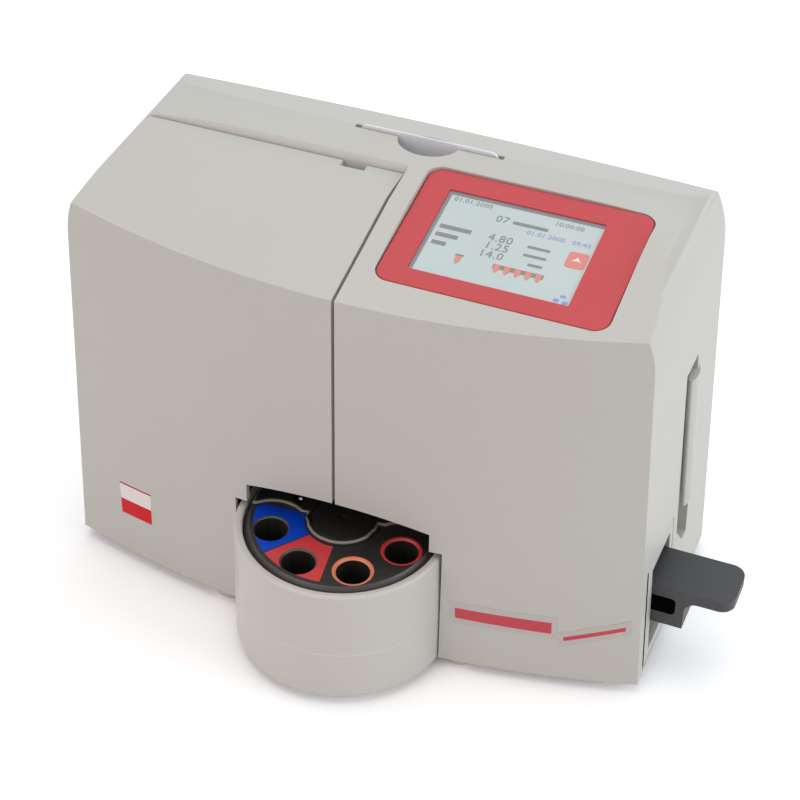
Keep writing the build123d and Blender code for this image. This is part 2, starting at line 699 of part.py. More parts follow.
for (label, (start, end)), place in zip(sectors.items(), tube_places[:2]):
    with BuildPart() as inlay:
        sector(inlay_inner, rotor_flat_radius - 0.4, start, end, inlay_z)
        bevelled_bore(*place, rotor_top - tube_depth)
    write(inlay, label)

for label, place in zip(("orange_ring", "red_ring"), tube_places[2:]):
    with BuildPart() as ring:
        post(*place, inlay_z, ring_radius)
        bevelled_bore(*place, rotor_top - tube_depth)
    write(ring, label)

# Raised deck over the back half of the rotor, cut round the tubes beside it
deck_top = rotor_top + deck_thick
deck_screw_places = [on_rotor(radius, deck_angle + angle) for radius, angle in deck_screw_at]
deck_screw_low = deck_top - deck_screw_deep

with BuildPart() as rotor_deck:
    sector(hub_radius - 1.0, deck_radius, deck_angle, deck_angle + 180.0, (rotor_top, deck_top))
    post(rotor_x, rotor_y, (rotor_top, deck_top), hub_radius)
    for x, y in (tube_places[0], tube_places[3]):
        post(x, y, (rotor_top - 1.0, deck_top + 1.0), deck_scallop, Mode.SUBTRACT)
    recess = (deck_top - hub_recess, deck_top + 1.0)
    post(rotor_x, rotor_y, recess, hub_recess_radius, Mode.SUBTRACT)
    post(*rinse_place, (rotor_top - 1.0, deck_top + 1.0), rinse_radius, Mode.SUBTRACT)
    for x, y in deck_screw_places:
        post(x, y, (deck_screw_low, deck_top), deck_screw_radius + 0.1, Mode.SUBTRACT)
write(rotor_deck, "rotor_deck")

with BuildPart() as hub_cap:
    post(rotor_x, rotor_y, (deck_top - hub_recess, deck_top - 0.3), hub_recess_radius - 0.2)
    fillet(hub_cap.edges().group_by(Axis.Z)[-1], 0.4)
    with BuildSketch(Plane.XY.offset(deck_top - 0.3)):
        with Locations((rotor_x, rotor_y)):
            RegularPolygon(2.2, 6)
    extrude(amount=-0.7, mode=Mode.SUBTRACT)
write(hub_cap, "hub_cap")

with BuildPart() as deck_screws:
    for x, y in deck_screw_places:
        post(x, y, (deck_screw_low, deck_top - 0.1), deck_screw_radius)
        with BuildSketch(Plane.XY.offset(deck_top - 0.1)):
            with Locations((x, y)):
                RegularPolygon(deck_screw_radius / 2, 6)
        extrude(amount=-0.6, mode=Mode.SUBTRACT)
write(deck_screws, "deck_screws")

# Dark hood round the back of the rotor, standing on the well's rim
hood_inner = well_outer + hood_gap
hood_outer = hood_inner + hood_wall
with BuildPart() as inner_hood:
    for z, radius, mode in (
        ((cover_top, hood_roof_z + hood_wall), hood_outer, Mode.ADD),
        ((cover_top + 1.2, hood_roof_z), hood_inner, Mode.SUBTRACT),
    ):
        post(rotor_x, rotor_y, z, radius, mode)
        sides = (rotor_x - radius, rotor_x + radius)
        block(sides, (rotor_y - 12.0, rotor_y), z, mode)
    block((-far, far), (hood_front_y, far), (-far, far), Mode.INTERSECT)
    post(rotor_x, rotor_y, (0, cover_top + 1.2), well_outer - 1.9, Mode.SUBTRACT)
    block((-far, far), (-far, rotor_y + 6.0), (0, cover_top + 1.2), Mode.SUBTRACT)
    side = rinse_radius + 1.0
    needle_hole = [(c - side, c + side) for c in rinse_place]
    block(*needle_hole, (hood_roof_z - 1.0, far), Mode.SUBTRACT)
write(inner_hood, "inner_hood")


# Display: red frame, glass behind it and the module under the casing's top
with BuildPart() as display_bezel:
    plate_on(panel_floor, panel_width, panel_height, panel_corner, panel_thick)
    upward = Axis(panel_plane.origin, panel_plane.z_dir)
    fillet(display_bezel.faces().sort_by(upward)[-1].edges(), 0.5)
    plate_on(
        panel_floor, screen_width, screen_height, 0.6, panel_thick, Mode.SUBTRACT, screen_at
    )
write(display_bezel, "display_bezel")

with BuildPart() as display_glass:
    plate_on(
        panel_floor, screen_width - 0.2, screen_height - 0.2, 0.5, panel_thick - glass_drop,
        shift=screen_at,
    )
write(display_glass, "display_glass")

with BuildPart() as display_module:
    plate_on(
        panel_floor.offset(-rim_floor), screen_width + 3.4, screen_height + 3.4, 1.2, rim_floor,
        shift=screen_at,
    )
    plate_on(
        panel_floor.offset(-rim_floor - module_thick), screen_width + 14.0,
        screen_height + 10.0, 2.0, module_thick, shift=screen_at,
    )
write(display_module, "display_module")

# Pocket that holds the card upright under its slot
pocket_floor = top_height + card_stand - card_height - 0.2
with BuildPart() as card_pocket:
    grow = sleeve_wall
    block(
        (card_x - slot_width / 2 - grow, card_x + slot_width / 2 + grow),
        (card_y - slot_depth / 2 - grow, card_y + slot_depth / 2 + grow),
        (pocket_floor - grow, top_height),
    )
    with BuildSketch(Plane.XY.offset(top_height - thumb_deep - grow)) as bowl:
        with Locations((card_x, card_y)):
            Ellipse(thumb_width + grow, thumb_front + grow)
            Rectangle(far, far, align=(Align.CENTER, Align.MIN), mode=Mode.SUBTRACT)
            Ellipse(thumb_width - 2.0 + grow, thumb_back + grow)
    extrude(bowl.sketch, amount=thumb_deep + grow)
    add(inner_form, mode=Mode.INTERSECT)
    block(
        (card_x - slot_width / 2, card_x + slot_width / 2),
        (card_y - slot_depth / 2, card_y + slot_depth / 2),
        (pocket_floor, top_height), Mode.SUBTRACT,
    )
    cut_thumb_scoop(thumb_deep)
    for side in (-1, 1):
        rib = card_x + side * (card_width / 2 + card_play)
        for back in (-1, 1):
            near = card_thick / 2 + card_play
            ys = sorted((card_y + back * near, card_y + back * slot_depth / 2))
            xs = sorted((rib - side * 4.0, card_x + side * slot_width / 2))
            block(xs, ys, (pocket_floor, top_height - 16.0))
write(card_pocket, "card_pocket")

with BuildPart() as info_card:
    standing = Plane(origin=(card_x, card_y, top_height + card_stand - card_height / 2),
                     x_dir=(1, 0, 0), z_dir=(0, -1, 0))
    plate_on(standing.offset(-card_thick / 2), card_width, card_height, card_corner, card_thick)
write(info_card, "info_card")

# Side drawer: its front in the casing's side, the box behind and the dark grip
window_y = (grip_front_y - window_margin, grip_front_y + grip_width + window_margin)
drawer_y = (drawer_front_y, drawer_back_y)
with BuildPart() as drawer_front:
    add(outer_form - inner_form)
    block((body_width / 4, far), drawer_y, (drawer_low_z, drawer_high_z), Mode.INTERSECT)
    side_opening(window_y, (window_low, window_high))
write(drawer_front, "drawer_front")

box_y = (drawer_front_y + drawer_wall, drawer_back_y - drawer_wall + 0.4)
with BuildPart() as drawer_box:
    block((drawer_inner_x, far / 3), box_y, drawer_box_z)
    block((grip_back_x - drawer_wall, far / 3), box_y, (drawer_box_z[0], drawer_high_z - 2.4))
    block(
        (drawer_inner_x + drawer_wall, grip_back_x - drawer_wall),
        (box_y[0] + drawer_wall, box_y[1] - drawer_wall),
        (drawer_box_z[0] + drawer_wall, far), Mode.SUBTRACT,
    )
    add(inner_form, mode=Mode.INTERSECT)
    block((grip_back_x, far), window_y, (window_low, window_high), Mode.SUBTRACT)
write(drawer_box, "drawer_box")

with BuildPart() as drawer_handle:
    back, web = grip_back_x + grip_back_thick, grip_web_x - grip_web
    base, top, bar = grip_top - grip_thick, grip_top, grip_bar_low + grip_bar_thick
    with BuildSketch(Plane.XZ.offset(-grip_front_y)) as side_view:
        with BuildLine():
            Polyline(
                (grip_back_x, window_low + window_margin), (back, window_low + window_margin),
                (back, grip_bar_low), (grip_web_x, grip_bar_low), (grip_web_x, base),
                (grip_tip_x, base), (grip_tip_x, top), (back, top),
                (back, window_high - window_margin), (grip_back_x, window_high - window_margin),
                close=True,
            )
        make_face()
        with BuildLine():
            Polyline((back, bar), (web, bar), (web, base), (back, base), close=True)
        make_face(mode=Mode.SUBTRACT)
        corners = side_view.vertices()
        fillet(corners.filter_by(lambda v: abs(v.X - web) < 0.01), 2.0)
        elbows = side_view.vertices().filter_by(lambda v: abs(v.X - grip_web_x) < 0.01)
        fillet(elbows.sort_by(Axis.Y)[-1], grip_fillet)
    extrude(side_view.sketch, amount=-grip_width)
    tips = drawer_handle.edges().filter_by(Axis.Z).group_by(Axis.X)[-1]
    fillet(tips, grip_tip_round)
write(drawer_handle, "drawer_handle")

with BuildPart() as drawer_guides:
    run = (drawer_inner_x - 6.0, half_width - 18.0)
    for y in (box_y[0] + 3.0, box_y[1] - 7.0):
        block(run, (y, y + 4.0), (pan_top, drawer_box_z[0] - 0.3))
    for y in (box_y[0] - guide_thick - 0.4, box_y[1] + 0.4):
        block(run, (y, y + guide_thick), (pan_top, drawer_box_z[0] + 9.0))
write(drawer_guides, "drawer_guides")

# Upright frame inside, with a divider that carries the sampling needle
with BuildPart() as inner_frame:
    block((-frame_half, frame_half), (frame_y, frame_back), (pan_top, frame_top))
    foot = (frame_y, frame_back + frame_foot)
    block((-frame_half, frame_half), foot, (pan_top, pan_top + frame_thick))
    block((divider_x, divider_x + frame_thick), (divider_front, frame_y), (divider_low, frame_top))
    bar_along_y(pump_x, pump_z, (0, far / 4), 6.0, Mode.SUBTRACT)
write(inner_frame, "inner_frame")


# Circuit board on standoffs behind the frame
def board(x, z):
    block(x, (frame_back + board_standoff, board_face), z)
    for at_x in (x[0] + standoff_in, x[1] - standoff_in):
        for at_z in (z[0] + standoff_in, z[1] - standoff_in):
            bar_along_y(at_x, at_z, (frame_back, frame_back + board_standoff), standoff_radius)


# Part on a board, placed from the board's lower left corner
def board_part(corner, x, z, width, height, thick):
    with Locations((corner[0] + x, board_face + thick / 2, corner[1] + z)):
        Box(width, thick, height)


board_face = frame_back + board_standoff + board_thick
main_board_x = (half_width - board_sides_in[1], half_width - board_sides_in[0])
main_board_z = (main_board_low, top_height - main_board_drop)
power_board_x = (board_sides_in[0] - half_width, board_sides_in[1] - half_width)
with BuildPart() as main_board:
    board(main_board_x, main_board_z)
write(main_board, "main_board")

with BuildPart() as power_board:
    board(power_board_x, power_board_z)
write(power_board, "power_board")

# Chips and other parts: place from the corner, width, height and thickness
chips = [(30.0, 40.0, 18.0, 18.0, 1.6), (14.0, 62.0, 12.0, 8.0, 1.4), (48.0, 62.0, 9.0, 12.0, 1.8)]
chips += [(16.0, 16.0, 14.0, 10.0, 1.4), (46.0, 16.0, 8.0, 8.0, 5.0)]
coils = [(14.0, 32.0, 18.0, 22.0, 16.0), (48.0, 46.0, 16.0, 10.0, 12.0)]
capacitors = [(36.0, 14.0), (48.0, 14.0), (36.0, 28.0)]
capacitor_radius, capacitor_tall = 4.5, 15.0
with BuildPart() as main_board_parts:
    for chip in chips:
        board_part((main_board_x[0], main_board_z[0]), *chip)
write(main_board_parts, "main_board_parts")

with BuildPart() as power_board_parts:
    for coil in coils:
        board_part((power_board_x[0], power_board_z[0]), *coil)
    for x, z in capacitors:
        upright = (board_face, board_face + capacitor_tall)
        bar_along_y(power_board_x[0] + x, power_board_z[0] + z, upright, capacitor_radius)
write(power_board_parts, "power_board_parts")

# Sampling needle: bracket, guide rods, screw, carriage, needle and motor
needle_x, needle_y = rinse_place
screw_x, screw_y = needle_x + lead_right, needle_y + lead_back
rod_places = [(screw_x + side * rod_spread, screw_y - rods_front) for side in (-1, 1)]
bracket_y = (needle_y + bracket_back, frame_y)
shelf = (frame_top, frame_top + shelf_thick)
sill = (needle_low, needle_low + shelf_thick)
with BuildPart() as needle_bracket:
    block((divider_x - frame_thick, divider_x), bracket_y, (sill[0], shelf[1]))
    for z in (shelf, sill):
        block((screw_x - shelf_half, divider_x), bracket_y, z)
    block((screw_x - shelf_half, divider_x), (frame_y, frame_back + 4.0), shelf)
    post(screw_x, screw_y, (0, far / 2), shaft_radius + running, Mode.SUBTRACT)
    for x, y in rod_places:
        post(x, y, (0, far / 2), rod_radius, Mode.SUBTRACT)
write(needle_bracket, "needle_bracket")

with BuildPart() as guide_rods:
    for x, y in rod_places:
        post(x, y, (sill[0], shelf[1]), rod_radius)
write(guide_rods, "guide_rods")

with BuildPart() as lead_screw:
    post(screw_x, screw_y, (sill[0] + 0.5, shelf[1] + 5.0), shaft_radius)
write(lead_screw, "lead_screw")

with BuildPart() as needle_motor:
    side = needle_motor_side / 2
    across, along = (screw_x - side, screw_x + side), (screw_y - side, screw_y + side)
    block(across, along, (shelf[1], shelf[1] + needle_motor_tall))
    chamfer(needle_motor.edges().filter_by(Axis.Z), 3.0)
    post(screw_x, screw_y, (shelf[1], shelf[1] + 6.0), shaft_radius + running, Mode.SUBTRACT)
write(needle_motor, "needle_motor")

carriage = (carriage_z, carriage_z + carriage_height)
with BuildPart() as needle_carriage:
    along = (needle_y - carriage_front, screw_y + carriage_back)
    block((screw_x - carriage_half, screw_x + carriage_half), along, carriage)
    chamfer(needle_carriage.edges().filter_by(Axis.Z), 2.0)
    post(screw_x, screw_y, (0, far / 2), shaft_radius + running, Mode.SUBTRACT)
    for x, y in rod_places:
        post(x, y, (0, far / 2), rod_radius + running, Mode.SUBTRACT)
    post(needle_x, needle_y, (0, far / 2), needle_radius, Mode.SUBTRACT)
write(needle_carriage, "needle_carriage")

with BuildPart() as sampling_needle:
    post(needle_x, needle_y, (needle_low, needle_top), needle_radius)
write(sampling_needle, "sampling_needle")

# Tube pump behind the cover: motor behind the frame, head and rollers in front of it
head_y = (frame_y - pump_deep, frame_y)
disc_face = frame_y - pump_back
with BuildPart() as pump_head:
    bar_along_y(pump_x, pump_z, head_y, pump_radius)
    inside = pump_radius - pump_wall
    bar_along_y(pump_x, pump_z, (0, disc_face), inside, Mode.SUBTRACT)
    block((pump_x - inside, pump_x + inside), (0, disc_face), (0, pump_z), Mode.SUBTRACT)
    bar_along_y(pump_x, pump_z, (0, far / 4), pump_shaft_radius + running, Mode.SUBTRACT)
write(pump_head, "pump_head")

with BuildPart() as pump_motor:
    bar_along_y(pump_x, pump_z, (frame_back, frame_back + pump_motor_long), pump_motor_radius)
    shaft_hole = (0, frame_back + 11.0)
    bar_along_y(pump_x, pump_z, shaft_hole, pump_shaft_radius + running, Mode.SUBTRACT)
write(pump_motor, "pump_motor")

carrier_y = (head_y[0] + 0.6, disc_face - 0.6)
roller_turns = [radians(90.0 + 360.0 / roller_count * k) for k in range(roller_count)]
roller_places = [on_arc((pump_x, pump_z), roller_pitch, turn) for turn in roller_turns]
with BuildPart() as roller_carrier:
    bar_along_y(pump_x, pump_z, (carrier_y[0], frame_back + 10.0), pump_shaft_radius)
    for y in (carrier_y[0], carrier_y[1] - carrier_cheek):
        bar_along_y(pump_x, pump_z, (y, y + carrier_cheek), carrier_radius)
    for place in roller_places:
        bar_along_y(*place, carrier_y, roller_pin_radius)
write(roller_carrier, "roller_carrier")

roller_y = (carrier_y[0] + carrier_cheek + 0.2, carrier_y[1] - carrier_cheek - 0.2)
with BuildPart() as pump_rollers:
    for place in roller_places:
        bar_along_y(*place, roller_y, roller_radius)
        bar_along_y(*place, roller_y, roller_pin_radius, Mode.SUBTRACT)
write(pump_rollers, "pump_rollers")

tube_y = (carrier_y[0] + carrier_y[1]) / 2
tube_ends = [(pump_x + side * tube_bend, pump_z - tube_drop) for side in (-1, 1)]
with BuildPart() as pump_tube:
    with BuildLine(Plane.XZ.offset(-tube_y)) as run_of_tube:
        over = ((pump_x - tube_bend, pump_z), (pump_x, pump_z + tube_bend), (pump_x + tube_bend, pump_z))
        Line(tube_ends[0], over[0])
        ThreePointArc(*over)
        Line(over[2], tube_ends[1])
    end_plane = Plane(origin=(tube_ends[0][0], tube_y, tube_ends[0][1]), z_dir=(0, 0, 1))
    with BuildSketch(end_plane) as bore_of_tube:
        Circle(pump_tube_radius)
    sweep(bore_of_tube.sketch, path=run_of_tube.wire())
write(pump_tube, "pump_tube")

# Sensor block beside the pump and the system bottle below it
sensor_x = (sensor_in - half_width, sensor_in - half_width + sensor_width)
sensor_z = (top_height - sensor_drop, top_height - sensor_drop + sensor_tall)
sensor_front = frame_y - sensor_deep
with BuildPart() as sensor_block:
    block(sensor_x, (sensor_front, frame_y), sensor_z)
    chamfer(sensor_block.edges().filter_by(Axis.Y), 2.0)
write(sensor_block, "sensor_block")

with BuildPart() as sensor_cap:
    middle = (sum(sensor_x) / 2, sum(sensor_z) / 2)
    bar_along_y(*middle, (sensor_front - sensor_cap_thick, sensor_front), sensor_cap_radius)
    chamfer(sensor_cap.faces().sort_by(Axis.Y)[0].edges(), 1.0)
write(sensor_cap, "sensor_cap")


def grown(ends, by):
    return ends[0] - by, ends[1] + by


with BuildPart() as bottle_cradle:
    outside = cradle_play + cradle_wall
    rim = (pan_top, pan_top + cradle_tall)
    block(grown(bottle_x, outside), grown(bottle_y, outside), rim)
    pit = (pan_top + cradle_floor, far)
    block(grown(bottle_x, cradle_play), grown(bottle_y, cradle_play), pit, Mode.SUBTRACT)
write(bottle_cradle, "bottle_cradle")

bottle_middle = (sum(bottle_x) / 2, sum(bottle_y) / 2)
with BuildPart() as system_bottle:
    block(bottle_x, bottle_y, (pan_top + cradle_floor, bottle_top))
    fillet(system_bottle.edges().filter_by(Axis.Z), 5.0)
    fillet(system_bottle.edges().group_by(Axis.Z)[-1], 3.0)
    post(*bottle_middle, (bottle_top, bottle_top + neck_tall), neck_radius)
    offset(amount=-bottle_wall, openings=system_bottle.faces().sort_by(Axis.Z)[-1])
write(system_bottle, "system_bottle")

with BuildPart() as bottle_cap:
    post(*bottle_middle, (bottle_top + 2.0, bottle_top + neck_tall + 2.0), neck_radius + cap_wall)
    post(*bottle_middle, (0, bottle_top + neck_tall), neck_radius, Mode.SUBTRACT)
    fillet(bottle_cap.faces().sort_by(Axis.Z)[-1].edges(), 1.0)
write(bottle_cap, "bottle_cap")

# Sockets in a tray behind the back wall: which faces each has, how deep its mouth is,
# and for each face the places and the width of the contact tongues in it
tray_face = socket_plate_y - socket_plate_thick
sockets = {
    "serial_socket": (5.0, {"serial": ((0.0,), 12.0)}),
    "network_socket": (9.0, {"network": ((), 0.0)}),
    "usb_sockets": (9.0, {"usb_high": ((0.0,), 8.0), "usb_low": ((0.0,), 8.0)}),
    "power_socket": (12.0, {"power": ((-6.0, 0.0, 6.0), 2.0)}),
}


def socket_block(kind, y, grow, mode):
    z, width, height = socket_faces[kind]
    with Locations((socket_x, (y[0] + y[1]) / 2, z)):
        Box(width + 2 * grow, y[1] - y[0], height + 2 * grow, mode=mode)


with BuildPart() as socket_plate:
    half_x, half_z = socket_window[0] / 2 + 1.5, socket_window[1] / 2 + 3.0
    block(
        (socket_x - half_x, socket_x + half_x), (tray_face, far),
        (socket_window_z - half_z, socket_window_z + half_z),
    )
    add(inner_form, mode=Mode.INTERSECT)
    block(window_x, (socket_plate_y, far), window_z, Mode.SUBTRACT)
    for kind in socket_faces:
        socket_block(kind, (tray_face - 1.0, socket_plate_y + 1.0), 0.0, Mode.SUBTRACT)
write(socket_plate, "socket_plate")

for label, (mouth_deep, mouths) in sockets.items():
    with BuildPart() as socket:
        for kind, (places, tongue) in mouths.items():
            body = (socket_plate_y - mouth_deep - 3.0, socket_plate_y + socket_proud)
            socket_block(kind, body, 0.0, Mode.ADD)
            socket_block(kind, (socket_plate_y - mouth_deep, far), -socket_wall, Mode.SUBTRACT)
            inside = socket_plate_y - mouth_deep / 2 - 0.5
            for across in places:
                with Locations((socket_x + across, inside, socket_faces[kind][0])):
                    Box(tongue, mouth_deep - 1.0, contact_height)
    write(socket, label)
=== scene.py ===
# Bench analyzer: finishes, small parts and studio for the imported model
from math import cos, pi, radians, sin

import bmesh
import bpy
from mathutils import Matrix, Vector


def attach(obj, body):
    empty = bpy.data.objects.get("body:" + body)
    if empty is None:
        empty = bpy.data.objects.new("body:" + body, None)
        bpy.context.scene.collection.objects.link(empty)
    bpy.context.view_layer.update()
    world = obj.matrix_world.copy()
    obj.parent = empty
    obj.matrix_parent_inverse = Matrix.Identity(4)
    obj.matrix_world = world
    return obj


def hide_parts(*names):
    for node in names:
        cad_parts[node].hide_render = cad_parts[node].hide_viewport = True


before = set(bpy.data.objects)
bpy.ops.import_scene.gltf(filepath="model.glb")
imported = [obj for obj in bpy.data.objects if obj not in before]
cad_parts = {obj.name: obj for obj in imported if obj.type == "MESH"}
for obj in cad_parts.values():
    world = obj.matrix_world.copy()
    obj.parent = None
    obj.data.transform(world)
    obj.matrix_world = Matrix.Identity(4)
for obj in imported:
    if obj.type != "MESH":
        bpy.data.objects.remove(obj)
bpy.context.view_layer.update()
mm = 0.001
print("frame loaded:", len(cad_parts), "nodes")

# Camera, as the photograph was taken: place and clip in metres, angles in degrees, lens and sensor in mm
camera = {"place": (0.22612, -0.59737, 0.61369), "turn": 21.085, "down": 39.179, "roll": 0.864,
          "lens": 100.37, "sensor": 36.0, "clip": (0.05, 50.0)}


def makeCamera(c):
    a, e, r = radians(c["turn"]), radians(c["down"]), radians(c["roll"])
    ahead = Vector((-sin(a) * cos(e), cos(a) * cos(e), -sin(e)))
    right = Vector((cos(a), sin(a), 0.0))
    up = right.cross(ahead)
    turnedRight = right * cos(r) + up * sin(r)
    turnedUp = up * cos(r) - right * sin(r)
    data = bpy.data.cameras.new("camera")
    data.lens, data.sensor_width = c["lens"], c["sensor"]
    data.clip_start, data.clip_end = c["clip"]
    made = bpy.data.objects.new("camera", data)
    bpy.context.scene.collection.objects.link(made)
    axes = Matrix((turnedRight, turnedUp, -ahead)).transposed().to_4x4()
    made.matrix_world = Matrix.Translation(c["place"]) @ axes
    bpy.context.scene.camera = made


makeCamera(camera)
print("camera placed")


pureWhite = (1.0, 1.0, 1.0, 1.0)


# sRGB hex to the linear values that shaders take
def linear(hexColour):
    parts = [int(hexColour[k:k + 2], 16) / 255 for k in (1, 3, 5)]
    flat = [p / 12.92 if p <= 0.04045 else ((p + 0.055) / 1.055) ** 2.4 for p in parts]
    return (*flat, 1.0)


def inMetres(sizes):
    return tuple(size * mm for size in sizes)


# Adds one node: settings are its properties, values its sockets, links its inputs
def addNode(tree, kind, settings=None, values=None, links=None):
    node = tree.nodes.new(kind)
    for name, value in (settings or {}).items():
        setattr(node, name, value)
    for key, value in (values or {}).items():
        node.inputs[key].default_value = value
    for key, source in (links or {}).items():
        tree.links.new(source, node.inputs[key])
    return node


def newMaterial(name):
    material = bpy.data.materials.new(name)
    material.use_nodes = True
    material.node_tree.nodes.clear()
    return material, material.node_tree


def finishMaterial(tree, shader):
    addNode(tree, "ShaderNodeOutputMaterial", links={"Surface": shader.outputs[0]})


# A surface with a faint mottle in its colour, and a fine grain in its gloss and relief. milkReachMm is how
# far light spreads under a milky skin, for red, green and blue
pattern = {"mottleDetail": 3.0, "mottleRoughness": 0.55, "grainDetail": 2.0, "grainRoughness": 0.6,
           "grainLow": 0.3, "grainHigh": 0.7, "milkReachMm": (4.0, 4.0, 3.0)}


def grainedSurface(name, look):
    material, tree = newMaterial(name)
    place = addNode(tree, "ShaderNodeTexCoord").outputs["Object"]
    mottle = addNode(tree, "ShaderNodeTexNoise", values={
        "Scale": 1 / (look["mottleMm"] * mm), "Detail": pattern["mottleDetail"],
        "Roughness": pattern["mottleRoughness"]}, links={"Vector": place})
    grain = addNode(tree, "ShaderNodeTexNoise", values={
        "Scale": 1 / (look["grainMm"] * mm), "Detail": pattern["grainDetail"],
        "Roughness": pattern["grainRoughness"]}, links={"Vector": place})
    tint = addNode(tree, "ShaderNodeMix", {"data_type": "RGBA"}, {
        "A": linear(look["colour"]), "B": linear(look["shade"])}, {"Factor": mottle.outputs["Fac"]})
    gloss = addNode(tree, "ShaderNodeMapRange", values={
        "From Min": pattern["grainLow"], "From Max": pattern["grainHigh"],
        "To Min": look["roughness"] - look["glossSpread"],
        "To Max": look["roughness"] + look["glossSpread"]}, links={"Value": grain.outputs["Fac"]})
    relief = addNode(tree, "ShaderNodeBump", values={
        "Strength": look["relief"], "Distance": look["depthMm"] * mm}, links={"Height": grain.outputs["Fac"]})
    shader = addNode(tree, "ShaderNodeBsdfPrincipled", values={
        "Metallic": look.get("metallic", 0.0), "IOR": look.get("ior", 1.5),
        "Subsurface Weight": look.get("milk", 0.0), "Specular IOR Level": look.get("shine", 0.5)}, links={
        "Base Color": tint.outputs["Result"], "Roughness": gloss.outputs["Result"],
        "Normal": relief.outputs["Normal"]})
    if look.get("milk"):
        shader.inputs["Subsurface Radius"].default_value = inMetres(pattern["milkReachMm"])
        shader.inputs["Subsurface Scale"].default_value = 1.0
    finishMaterial(tree, shader)
    return material


